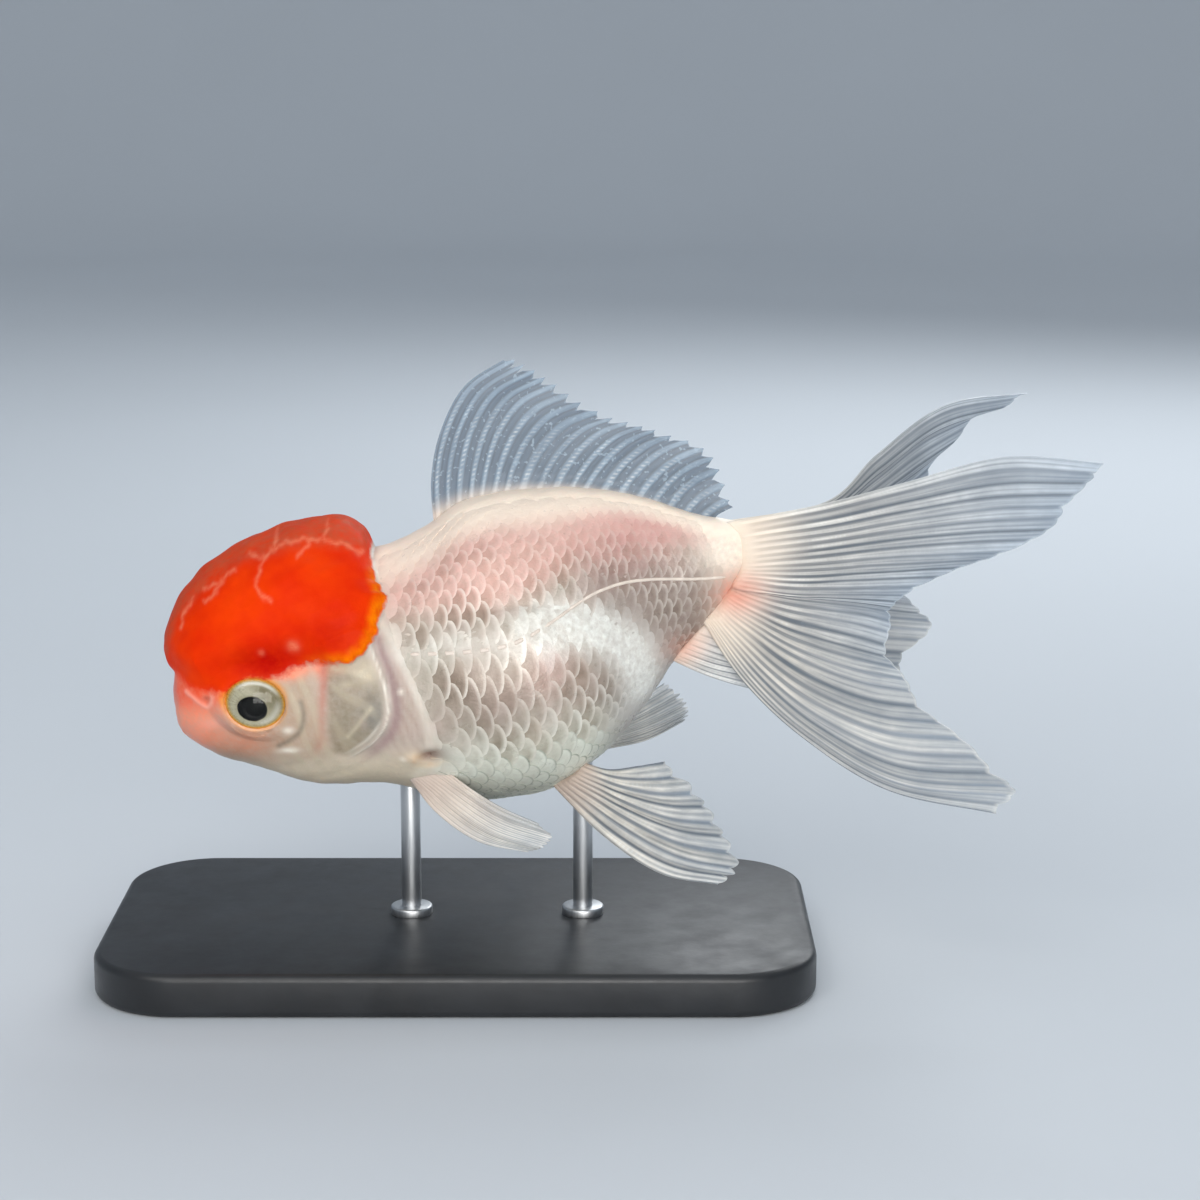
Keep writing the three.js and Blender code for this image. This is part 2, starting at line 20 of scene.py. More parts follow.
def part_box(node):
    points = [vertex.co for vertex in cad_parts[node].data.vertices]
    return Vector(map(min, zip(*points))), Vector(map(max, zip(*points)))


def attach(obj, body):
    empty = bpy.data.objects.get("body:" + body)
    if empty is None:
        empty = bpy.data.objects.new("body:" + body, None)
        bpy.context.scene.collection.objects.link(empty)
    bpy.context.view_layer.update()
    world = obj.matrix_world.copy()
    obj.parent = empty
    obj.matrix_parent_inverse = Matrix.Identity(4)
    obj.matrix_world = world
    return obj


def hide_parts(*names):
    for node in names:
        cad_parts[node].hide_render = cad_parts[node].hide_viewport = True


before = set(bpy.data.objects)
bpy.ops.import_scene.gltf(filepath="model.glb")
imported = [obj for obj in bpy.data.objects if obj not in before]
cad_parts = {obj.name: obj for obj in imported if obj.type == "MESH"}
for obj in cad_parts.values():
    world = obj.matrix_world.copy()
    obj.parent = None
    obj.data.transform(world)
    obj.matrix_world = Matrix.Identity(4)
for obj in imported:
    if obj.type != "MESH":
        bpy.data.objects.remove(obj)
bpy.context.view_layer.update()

log = logging.getLogger("goldfish")

MM = 0.001
BODY = "root"
Field = np.ndarray


class Side(Enum):
    """The fish's two sides, each with the sign of its y."""

    LEFT = -1
    RIGHT = 1

    @property
    def word(self) -> str:
        """Returns the side's name as the CAD nodes write it."""
        return self.name.lower()


# ---------------------------------------------------------------- curves and fields


def smoothstep(low: float, high: float, value: Field) -> Field:
    """Returns a smooth rise from 0 at low to 1 at high, and falls where low is the larger."""
    t = np.clip((value - low) / (high - low), 0.0, 1.0)
    return t * t * (3.0 - 2.0 * t)


def bump(distance: Field, width: float) -> Field:
    """Returns a soft hump that is 1 at no distance and fades over the width."""
    return np.exp(-((distance / width) ** 2))


def lerp(low: Field, high: Field, share: Field) -> Field:
    """Returns the value that lies the given share of the way from low to high."""
    return low + (high - low) * share


def spline_parts(rows: Field, t: Field, before: Optional[Field], after: Optional[Field]) -> tuple:
    """Finds which stretch of a curve each parameter lies on.

    Args:
        rows: The curve's rows of numbers.
        t: Places along the whole curve, from 0 to 1.
        before: The row before the first one, or None to run straight on.
        after: The row after the last one, or None to run straight on.

    Returns:
        The rows with one more at each end, the stretch numbers, and the shares along the stretches.
    """
    first = 2.0 * rows[0] - rows[1] if before is None else before
    last = 2.0 * rows[-1] - rows[-2] if after is None else after
    padded = np.concatenate([first[None], rows, last[None]])
    place = np.clip(t, 0.0, 1.0) * (len(rows) - 1)
    stretch = np.minimum(place.astype(int), len(rows) - 2)
    return padded, stretch, (place - stretch)[..., None]


def spline(a: Field, b: Field, c: Field, d: Field, f: Field) -> Field:
    """Returns the smooth curve from b to c at share f, bent by its neighbours a and d."""
    bend = (2.0 * a - 5.0 * b + 4.0 * c - d) * f * f + (3.0 * b - a - 3.0 * c + d) * f**3
    return 0.5 * (2.0 * b + (c - a) * f + bend)


def curve_at(
    rows: Field, t: Field, before: Optional[Field] = None, after: Optional[Field] = None
) -> Field:
    """Returns the points at t, from 0 to 1, on the smooth curve through rows of numbers.

    Args:
        rows: The hand-set rows, one for each knot.
        t: Places along the curve.
        before: The row before the first, or None.
        after: The row after the last, or None.

    Returns:
        One row of numbers for each value of t.
    """
    padded, i, f = spline_parts(rows, t, before, after)
    return spline(padded[i], padded[i + 1], padded[i + 2], padded[i + 3], f)


def unit(vectors: Field) -> Field:
    """Returns the vectors at length 1."""
    return vectors / np.maximum(np.linalg.norm(vectors, axis=-1, keepdims=True), 1e-9)


class Line:
    """A smooth line drawn on the fish's side, through given (x, z) points."""

    def __init__(self, points: Sequence[tuple], closed: bool = False, samples: int = 4) -> None:
        """Samples the line as short straight stretches.

        Args:
            points: The hand-set points, in fish millimetres.
            closed: Whether the line runs back to its first point.
            samples: Stretches between one hand-set point and the next.
        """
        rows = np.array([*points, points[0]] if closed else points, float)
        self.path = curve_at(rows, np.linspace(0.0, 1.0, (len(rows) - 1) * samples + 1))

    def near(self, x: Field, z: Field) -> tuple:
        """Finds the nearest place on the line.

        Args:
            x: Places along the fish.
            z: Heights on the fish.

        Returns:
            The signed distance, which is positive on the line's left, and the length of line up to
            the nearest place.
        """
        nearest = np.full(np.shape(x), np.inf)
        signed = np.zeros(np.shape(x))
        reach = np.zeros(np.shape(x))
        walked = 0.0
        for (ax, az), (bx, bz) in zip(self.path[:-1], self.path[1:]):
            dx, dz = bx - ax, bz - az
            length = math.hypot(dx, dz)
            t = np.clip(((x - ax) * dx + (z - az) * dz) / length**2, 0.0, 1.0)
            distance = np.hypot(x - ax - t * dx, z - az - t * dz)
            closer = distance < nearest
            nearest = np.where(closer, distance, nearest)
            turn = np.sign(dx * (z - az) - dz * (x - ax))
            signed = np.where(closer, turn * distance, signed)
            reach = np.where(closer, walked + t * length, reach)
            walked += length
        return signed, reach

    def stroke(self, x: Field, z: Field, width: float) -> Field:
        """Returns a soft stroke of that width along the line."""
        return bump(self.near(x, z)[0], width)

    def height_at(self, x: Field) -> Field:
        """Returns the line's z at each x, for a line that runs tailwards."""
        return np.interp(x, self.path[:, 0], self.path[:, 1])


def spot(x: Field, z: Field, centre: tuple, size: tuple) -> Field:
    """Returns a soft oval spot on the fish's side.

    Args:
        x: Places along the fish.
        z: Heights on the fish.
        centre: The spot's (x, z).
        size: How far the spot reaches along x and z.

    Returns:
        1 in the middle, fading outwards.
    """
    return bump(np.hypot((x - centre[0]) / size[0], (z - centre[1]) / size[1]), 1.0)


def spots(x: Field, z: Field, rows: tuple) -> Field:
    """Returns the sum of soft ovals, each a row of strength, x, z, and reach along x and z."""
    return sum(most * spot(x, z, (across, up), (wide, high)) for most, across, up, wide, high in rows)


# ---------------------------------------------------------------- the fish's own frame


@dataclass(frozen=True)
class FishFrame:
    """The fish's axes: x to its tail, y to its right side and z to its back.

    Attributes:
        origin: The fish frame's origin in the row frame, in metres.
        pitch: How far the swimming fish's head points down, in radians.
    """

    origin: Vector
    pitch: float = math.radians(10.0)

    @classmethod
    def from_eyes(cls, eye_x: float, eye_z: float) -> "FishFrame":
        """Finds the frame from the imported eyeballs.

        Args:
            eye_x: The eyes' x in fish millimetres.
            eye_z: The eyes' z in fish millimetres.

        Returns:
            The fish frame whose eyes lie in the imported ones.
        """
        corners = [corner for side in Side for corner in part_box(f"eye_{side.word}")]
        middle = sum(corners, Vector()) / len(corners)
        turned = Matrix.Rotation(-cls.pitch, 3, "Y") @ Vector((eye_x, 0.0, eye_z))
        return cls(middle - turned * MM)

    def to_row(self, points: Field) -> Field:
        """Returns fish points, in millimetres, as row-frame points in metres."""
        turn = np.array(Matrix.Rotation(-self.pitch, 3, "Y"))
        return points @ turn.T * MM + np.array(self.origin)


# ---------------------------------------------------------------- the flesh


@dataclass(frozen=True)
class Eye:
    """Sizes of an eyeball and the oval opening in the skin that shows it."""

    x: float = -33.7
    y: float = 11.9
    z: float = -2.0
    radius: float = 5.9
    flattening: float = 0.35
    half_length: float = 4.8
    half_height: float = 4.0
    tilt: float = math.radians(-16.0)
    raised: float = 0.35

    def front(self, radius: Field) -> Field:
        """Returns how far out the eyeball's slightly flattened front lies, off its axis by a radius."""
        dome = np.sqrt(np.maximum(self.radius**2 - radius**2, 1.0))
        return self.y + dome - self.flattening * np.maximum(dome - 3.0, 0.0)

    def opening(self, x: Field, z: Field) -> Field:
        """Measures how far places are from the eye's axis.

        Args:
            x: How far towards the tail.
            z: How far up.

        Returns:
            0 on the axis and 1 on the oval edge of its opening.
        """
        dx, dz = x - self.x, z - self.z - self.raised
        along = dx * math.cos(self.tilt) + dz * math.sin(self.tilt)
        across = dz * math.cos(self.tilt) - dx * math.sin(self.tilt)
        return np.hypot(along / self.half_length, across / self.half_height)


# Body sections from snout to tail: top x and z, bottom x and z, half width, and how far up the
# section is widest.
SECTIONS = np.array([
    (-48.7, -2.4, -48.7, -2.4, 0.0, 0.5),
    (-48.3, 0.4, -48.5, -5.2, 3.4, 0.5),
    (-47.3, 3.6, -47.8, -7.8, 6.9, 0.5),
    (-46.1, 8.3, -45.7, -10.0, 9.8, 0.5),
    (-43.4, 12.8, -42.6, -12.4, 12.2, 0.49),
    (-39.2, 15.8, -38.5, -14.3, 14.0, 0.48),
    (-34.3, 17.2, -34.2, -16.5, 15.3, 0.47),
    (-29.1, 17.8, -29.2, -19.0, 16.2, 0.46),
    (-23.5, 17.9, -23.8, -20.2, 16.9, 0.46),
    (-18.0, 17.6, -18.4, -20.8, 17.6, 0.46),
    (-12.6, 16.6, -13.2, -22.7, 18.2, 0.46),
    (-7.5, 17.5, -8.2, -25.0, 18.6, 0.46),
    (-2.8, 19.2, -3.4, -26.6, 18.9, 0.45),
    (2.2, 21.6, 1.6, -27.0, 18.8, 0.44),
    (7.4, 22.3, 6.4, -27.2, 18.3, 0.44),
    (12.8, 22.0, 11.0, -26.0, 17.2, 0.44),
    (18.0, 21.4, 15.6, -23.6, 15.4, 0.45),
    (22.9, 20.4, 19.8, -20.9, 13.1, 0.47),
    (27.3, 19.0, 23.6, -17.2, 10.8, 0.5),
    (31.3, 17.3, 27.4, -14.3, 8.9, 0.52),
    (35.2, 15.3, 31.0, -10.4, 7.4, 0.54),
    (38.9, 13.3, 35.0, -7.2, 6.2, 0.56),
    (42.4, 12.0, 39.4, -4.4, 4.8, 0.56),
    (45.4, 10.9, 43.4, -1.6, 3.3, 0.56),
    (47.4, 8.8, 46.6, 1.4, 1.8, 0.56),
    (48.4, 5.2, 48.4, 5.2, 0.0, 0.56),
])


def through_pole(section: Field) -> Field:
    """Returns the section that carries a round cap on through its pole."""
    top_x, top_z, bottom_x, bottom_z, half_width, widest = section
    return np.array([bottom_x, bottom_z, top_x, top_z, -half_width, widest])


@dataclass(frozen=True)
class Cap:
    """The raspberry-like growth over the head: its lower and rear edge, and its thickness."""

    edge: Line = Line([
        (-50.5, 4.4), (-46.6, 3.9), (-44.9, 2.4), (-43.2, 1.3), (-40.6, 0.9), (-38.2, 1.7),
        (-36.0, 2.7), (-33.9, 3.4), (-28.9, 2.7),
        (-24.0, 3.3), (-18.7, 2.8), (-15.8, 3.5), (-13.6, 5.4), (-12.3, 8.2), (-10.8, 10.3),
        (-11.9, 12.6), (-12.5, 15.0), (-13.2, 16.4), (-13.4, 18.0), (-13.4, 30.0),
    ], samples=3)
    veins: tuple = (
        Line([(-28.0, 13.8), (-29.8, 15.4), (-30.0, 17.0), (-29.4, 18.4), (-28.0, 20.2),
              (-25.6, 21.2), (-22.2, 21.3), (-18.8, 20.6), (-15.8, 19.4), (-13.6, 17.6)]),
        Line([(-28.6, 19.8), (-31.2, 20.4)]),
        Line([(-26.6, 21.2), (-27.0, 22.6)]),
        Line([(-19.0, 20.6), (-18.6, 22.4)]),
        Line([(-21.6, 21.1), (-21.8, 20.2), (-23.2, 19.4)]),
        Line([(-33.6, 18.6), (-35.8, 17.6), (-37.0, 15.8), (-39.0, 15.0)]),
        Line([(-36.7, 16.9), (-39.0, 16.5)]),
        Line([(-41.0, 15.2), (-42.6, 13.6), (-43.6, 11.2)]),
    )
    side: float = 2.4
    front: float = 1.9
    crown: float = 5.2
    rounding: float = 5.2
    scallop: float = 2.1

    def inside(self, x: Field, y: Field, z: Field) -> Field:
        """Measures how far places are inside the edge, which is unevenly scalloped behind the eye.

        Args:
            x: How far towards the tail.
            y: How far to the fish's right.
            z: How far up.

        Returns:
            The distances, negative outside.
        """
        signed, reach = self.edge.near(x, z)
        signed = signed - 0.9 * smoothstep(2.0, 6.0, y) * smoothstep(11.0, 14.0, z)
        uneven = 0.34 + 0.16 * np.sin(reach * 1.1 + 0.6)
        waves = uneven * np.abs(np.sin(math.pi * reach / self.scallop + 0.7 * np.sin(reach * 0.8)))
        return signed + waves * smoothstep(-24.0, -17.0, x) * smoothstep(2.2, 0.4, signed)

    def height(self, x: Field, y: Field, z: Field) -> Field:
        """Measures the pad: thickest on the crown, soft low on the cheeks.

        Args:
            x: How far towards the tail.
            y: How far to the fish's right.
            z: How far up.

        Returns:
            Its height over the skull.
        """
        inside = self.inside(x, y, z)
        nape = smoothstep(8.0, 13.0, z) * smoothstep(-26.0, -17.0, x)
        edge = 1.0 - np.clip(inside / self.rounding, 0.0, 1.0)
        top = lerp(self.front, self.crown, smoothstep(-47.0, -22.0, x))
        full = lerp(np.minimum(self.side, top), top, smoothstep(4.0, 15.0, z))
        soft = smoothstep(5.0, 9.0, np.abs(y)) * smoothstep(-20.0, -27.0, x) * smoothstep(9.0, 4.0, z)
        full = full * (1.0 - 0.3 * nape * smoothstep(3.0, 9.0, np.abs(y)))
        return full * lerp(np.sqrt(1.0 - edge**2), smoothstep(-0.5, 6.5, inside), soft)

    def vein(self, x: Field, z: Field, width: float) -> Field:
        """Draws the wandering seams between the growth's lobes.

        Args:
            x: How far towards the tail.
            z: How far up.
            width: The strokes' width.

        Returns:
            Their strength, as soft strokes.
        """
        bent_x = x + 0.16 * np.sin(2.3 * z + 0.8 * x) + 0.08 * np.sin(5.1 * z)
        bent_z = z + 0.16 * np.sin(2.1 * x + 1.0) + 0.08 * np.sin(4.7 * x + z)
        return np.maximum.reduce([line.stroke(bent_x, bent_z, width) for line in self.veins])


@dataclass(frozen=True)
class Belly:
    """The round dome of the belly over each flank."""

    x: float = 3.0
    z: float = -9.0
    half_length: float = 25.5
    half_height: float = 16.0
    rise: float = 2.2

    def height(self, x: Field, z: Field) -> Field:
        """Measures the dome, steeper at its rear edge than at its front.

        Args:
            x: How far towards the tail.
            z: How far up.

        Returns:
            Its height.
        """
        spread = ((x - self.x) / self.half_length) ** 2 + ((z - self.z) / self.half_height) ** 2
        inside = np.clip(1.0 - spread, 0.0, 1.0)
        return self.rise * inside ** lerp(1.6, 0.6, smoothstep(-8.0, 12.0, x))


@dataclass(frozen=True)
class Cheek:
    """The bony parts behind the eye: the gill cover, its front groove and the cheek ridges."""

    gill_cover: Line = Line([
        (-22.4, 5.6), (-18.5, 6.4), (-14.6, 6.8), (-13.6, 2.8), (-12.9, 0.0), (-12.6, -2.8),
        (-12.7, -5.3), (-13.7, -7.8), (-15.7, -9.9), (-18.4, -11.7), (-21.6, -13.2), (-24.2, -11.5),
        (-23.4, -3.0),
    ], closed=True)
    front_groove: Line = Line([(-21.7, 4.4), (-22.1, 1.4), (-23.0, -2.5), (-23.9, -6.0), (-25.0, -9.8),
                               (-28.0, -12.8), (-33.0, -13.8)])
    orbit_groove: Line = Line([(-26.5, -2.4), (-26.4, -4.4), (-27.2, -6.5), (-28.7, -8.1), (-31.7, -9.4)])
    plate_fold: Line = Line([(-15.6, -4.7), (-17.8, -6.7), (-20.2, -8.9)])
    shoulder: Line = Line([(-12.6, 8.6), (-10.4, 4.6), (-9.0, 0.0), (-7.8, -5.2), (-7.4, -10.4),
                           (-8.6, -14.2), (-11.4, -17.4)])
    isthmus: Line = Line([(-13.2, -7.4), (-16.0, -12.2), (-21.6, -15.6), (-28.6, -16.6)])

    def plate(self, x: Field, z: Field) -> Field:
        """Returns how far (x, z) is inside the gill cover's outline."""
        return -self.gill_cover.near(x, z)[0]

    def height(self, x: Field, z: Field) -> Field:
        """Measures the plates and grooves.

        Args:
            x: How far towards the tail.
            z: How far up.

        Returns:
            Their height over the bare cheek.
        """
        inside = self.plate(x, z)
        free = smoothstep(-24.6, -19.0, x + 0.25 * np.minimum(z + 4.0, 0.0))
        lid = 0.3 * smoothstep(-0.2, 0.3, inside) * free + 0.25 * smoothstep(0.0, 5.0, inside)
        slit = 0.18 * bump(inside + 0.8, 0.6) * free
        groove = 0.08 * self.front_groove.stroke(x, z, 0.7)
        orbit = 0.14 * self.orbit_groove.stroke(x, z, 0.45)
        fold = 0.07 * self.plate_fold.stroke(x, z, 0.6)
        collar = 0.12 * self.shoulder.stroke(x, z, 1.3)
        throat = 0.1 * self.isthmus.stroke(x, z, 0.8)
        knob = 0.4 * spot(x, z, (-10.3, -13.5), (1.3, 1.1)) - 0.7 * spot(x, z, (-7.8, -13.4), (1.8, 0.9))
        return lid - slit - groove - orbit + fold + collar - throat + knob


@dataclass(frozen=True)
class Snout:
    """The small blunt mouth with its lips, and the nostrils with their flaps."""

    mouth_z: float = -5.0
    mouth_half_width: float = 3.7
    corner_drop: float = 1.1
    flap: Line = Line([(-44.6, 1.2), (-43.6, 0.2), (-42.4, -0.9), (-41.5, -1.4), (-40.7, -0.7),
                       (-40.3, 0.3)])
    nostril: tuple = (-41.6, -0.1)

    def mouth_drop(self, y: Field, z: Field) -> Field:
        """Returns the height over the mouth's slit, which drops towards its corners."""
        reach = np.abs(y) / self.mouth_half_width
        return z - (self.mouth_z - self.corner_drop * reach**2)

    def gape(self, x: Field, y: Field) -> Field:
        """Returns 1 across the mouth, fading past its corners."""
        return smoothstep(1.35, 0.95, np.abs(y) / self.mouth_half_width) * (x < -40.0)

    def height(self, x: Field, y: Field, z: Field) -> Field:
        """Measures the lips and nostrils.

        Args:
            x: How far towards the tail.
            y: How far to the fish's right.
            z: How far up.

        Returns:
            Their height over the bare snout.
        """
        over = self.mouth_drop(y, z)
        gape = self.gape(x, y)
        slit = 0.9 * bump(over, 0.34) * gape
        upper = 0.16 * bump(over - 0.95, 0.7) * gape
        lower = 0.12 * bump(over + 0.85, 0.62) * gape
        crease = 0.16 * bump(over - 2.3, 0.45) * gape + 0.16 * bump(over + 2.0, 0.45) * gape
        side = np.abs(y) > 4.0
        flap = 0.16 * self.flap.stroke(x, z, 0.32) * side
        pit = 0.35 * spot(x, z, self.nostril, (0.6, 0.4)) * side
        return upper + lower + flap - slit - crease - pit


class FleshForm:
    """The outside of the fish's flesh and its skin, as a function of place.

    A place is u, from 0 at the snout to 1 at the tail, and an angle round from the back, positive
    on the fish's right side.
    """

    def __init__(self) -> None:
        """Gathers the parts of the head and body that shape the skin."""
        self.eye = Eye()
        self.cap = Cap()
        self.belly = Belly()
        self.cheek = Cheek()
        self.snout = Snout()
        self.lateral_line = Line([(-10.0, 2.6), (-2.0, 1.8), (5.0, 1.4), (9.0, 1.8), (13.0, 3.0),
                                  (18.0, 4.8), (22.0, 6.0), (28.0, 6.1), (38.0, 3.9), (47.0, 2.2)])
        self.coat_front = Line([(-13.0, 30.0), (-12.0, 12.1), (-11.6, 6.0), (-10.8, 2.5), (-9.6, -0.8),
                                (-8.2, -5.6), (-7.0, -10.2), (-6.2, -13.0), (-7.0, -15.4), (-9.4, -17.8),
                                (-11.6, -20.4), (-14.0, -30.0)])
        self.coat_depth = 0.2
        self.roots: list = []

    def bare(self, u: Field, angle: Field) -> Field:
        """Finds places on the bare loft.

        Args:
            u: Places along the fish, from 0 to 1.
            angle: Angles round from the back.

        Returns:
            Its points.
        """
        row = curve_at(SECTIONS, u, through_pole(SECTIONS[1]), through_pole(SECTIONS[-2]))
        top_x, top_z, bottom_x, bottom_z, half_width, widest = np.moveaxis(row, -1, 0)
        rise = np.cos(angle)
        up = np.maximum(rise, 0.0)
        down = np.maximum(-rise, 0.0)
        mid_x, mid_z = lerp(bottom_x, top_x, widest), lerp(bottom_z, top_z, widest)
        x = mid_x + (top_x - mid_x) * up + (bottom_x - mid_x) * down
        z = mid_z + (top_z - mid_z) * up + (bottom_z - mid_z) * down
        return np.stack([x, half_width * np.sin(angle), z], axis=-1)

    def bare_top(self, x: Field) -> Field:
        """Returns the bare back's z at each x."""
        return np.interp(x, SECTIONS[:, 0], SECTIONS[:, 1])

    def normal(self, u: Field, angle: Field, step: float = 0.002) -> Field:
        """Finds which way the bare loft faces.

        Args:
            u: Places along the fish, from 0 to 1.
            angle: Angles round from the back.
            step: How far apart the compared places are.

        Returns:
            Its outward directions.
        """
        along = self.bare(np.minimum(u + step, 1.0), angle) - self.bare(np.maximum(u - step, 0.0), angle)
        around = self.bare(u, angle + step) - self.bare(u, angle - step)
        return unit(np.cross(along, around))

    def scaled(self, x: Field, z: Field) -> Field:
        """Finds where scales cover the skin.

        Args:
            x: How far towards the tail.
            z: How far up.

        Returns:
            1 where they do, and 0 on head, throat, ridge and tail root.
        """
        behind = self.coat_front.near(x, z)[0]
        below = smoothstep(0.2, 1.4, self.bare_top(x) - z)
        return smoothstep(-0.6, 1.6, behind) * below * smoothstep(44.0, 41.5, x + 0.25 * z)

    def waves(self, points: Field) -> Field:
        """Measures slow uneven swells of the living skin, a tenth of a millimetre high.

        Args:
            points: Points in the fish's frame.

        Returns:
            Their height.
        """
        x, y, z = np.moveaxis(points, -1, 0)
        slow = np.sin(x * 0.71 + 1.3 * np.sin(z * 0.43)) * np.sin(z * 0.63 + y * 0.37 + 0.8)
        quick = np.sin(x * 1.43 - z * 0.9 + 2.0) * np.sin(z * 1.71 + y * 1.1 + 0.3 * x)
        return 0.07 * slow + 0.04 * quick

    def lobes(self, points: Field) -> Field:
        """Measures the cobbled lobes of the cap, strongest on the crown.

        Args:
            points: Points in the fish's frame.

        Returns:
            Their height.
        """
        x, y, z = np.moveaxis(points, -1, 0)
        bend_x = x + 1.4 * np.sin(0.5 * z + 0.4 * y)
        bend_y = y + 1.4 * np.sin(0.55 * x - 0.3 * z)
        cobbles = np.sin(bend_x * 0.9) * np.sin(bend_y * 0.8 + 0.4 * z)
        crown = smoothstep(12.0, 20.0, z)
        shown = smoothstep(0.8, 4.0, self.cap.inside(x, y, z))
        return shown * (0.06 + 0.13 * crown) * cobbles

    def swelling(self, points: Field) -> Field:
        """Measures the fleshy swelling of the skin round the roots of the fins.

        Args:
            points: Points in the fish's frame.

        Returns:
            Its height.
        """
        total = np.zeros(points.shape[:-1])
        for path, width, rise in self.roots:
            gap = np.linalg.norm(points[..., None, :] - path, axis=-1).min(axis=-1)
            total = np.maximum(total, rise * bump(gap, width))
        return total

    def body_height(self, points: Field) -> Field:
        """Returns the height of the bed that the scales lie on, over the bare loft."""
        x, _, z = np.moveaxis(points, -1, 0)
        return self.belly.height(x, z) + self.waves(points) + self.swelling(points) - self.coat_depth

    def height(self, points: Field) -> Field:
        """Measures the skin.

        Args:
            points: Points in the fish's frame.

        Returns:
            Its height over the bare loft.
        """
        x, y, z = np.moveaxis(points, -1, 0)
        pad = self.cap.height(x, y, z) + self.lobes(points)
        bones = self.cheek.height(x, z) * smoothstep(3.0, 8.0, np.abs(y))
        bare = lerp(self.coat_depth, -0.1, self.scaled(x, z))
        return pad + bones + self.snout.height(x, y, z) + bare + self.body_height(points)

    def skin(self, u: Field, angle: Field) -> Field:
        """Returns points of the skin at u and angle."""
        points = self.bare(u, angle)
        return points + self.normal(u, angle) * self.height(points)[..., None]

    def bed(self, u: Field, angle: Field, lift: Field = 0.0) -> Field:
        """Returns points of the scales' bed, moved out by a lift in millimetres.

        Args:
            u: Places along the fish, from 0 to 1.
            angle: Angles round from the back.
            lift: How far out of the bed each point stands.

        Returns:
            One fish point for each place.
        """
        points = self.bare(u, angle)
        rise = self.body_height(points) + lift
        return points + self.normal(u, angle) * rise[..., None]

    def set_eye_openings(self, points: Field) -> Field:
        """Folds the skin round the eyeballs and sinks it where they show.

        Args:
            points: Points of the skin.

        Returns:
            The same points, moved out of the eyes' way.
        """
        eye = self.eye
        x, y, z = np.moveaxis(points, -1, 0)
        gap = eye.opening(x, z)
        radius = np.hypot(x - eye.x, z - eye.z)
        ball = eye.front(radius)
        over = eye.front(np.minimum(radius, 4.7)) + 0.06 - np.abs(y)
        fold = np.abs(y) + 0.5 * (over + np.sqrt(over**2 + 0.3 * smoothstep(1.0, 1.3, gap)))
        near = smoothstep(1.7, 1.02, gap)
        raised = lerp(np.abs(y), fold, near)
        sunk = lerp(raised, np.minimum(raised, ball - 1.3), smoothstep(1.03, 0.93, gap))
        beside = (np.abs(y) > 6.0) & (gap < 2.0)
        out = points.copy()
        out[..., 1] = np.where(beside, np.sign(y) * sunk, y)
        return out


# ---------------------------------------------------------------- markings


@dataclass(frozen=True)
class Place:
    """Where points of the bare flesh lie.

    Attributes:
        x: How far towards the tail, in fish millimetres.
        y: How far to the fish's right.
        z: How far up.
        over: How far over the side line.
        plate: How far inside the gill cover's outline.
        coat: How far behind the scales' front edge.
    """

    x: Field
    y: Field
    z: Field
    over: Field
    plate: Field
    coat: Field


@dataclass(frozen=True)
class Marking:
    """One colour of the fish's pattern.

    Attributes:
        name: The mesh attribute that holds its strength, from 0 to 1.
        colour: Its sRGB colour.
        mottle: How much fine mottling breaks it up.
        ramps: Its soft borders: a measure of Place, where it starts there and where it is full.
        spots: Soft ovals added to it: strength, x, z, and reach along x and z.
        shape: Its form between the borders, where it isn't even.
        share: Its strength between the borders.
        side: How far off the middle plane it starts and is full, where it lies on the sides only.
    """

    name: str
    colour: str
    mottle: float
    ramps: tuple = ()
    spots: tuple = ()
    shape: Optional[Callable[[Place], Field]] = None
    share: float = 1.0
    side: tuple = (-1.0, 0.0)

    def strength(self, at: Place) -> Field:
        """Measures the marking.

        Args:
            at: Where the points lie.

        Returns:
            Its strength at each point, from 0 to 1.
        """
        area = self.share * self.shape(at) if self.shape else self.share * bool(self.ramps)
        for measure, start, full in self.ramps:
            area = area * smoothstep(start, full, getattr(at, measure))
        area = area + spots(at.x, at.z, self.spots)
        return np.clip(area, 0.0, 1.0) * smoothstep(*self.side, np.abs(at.y))


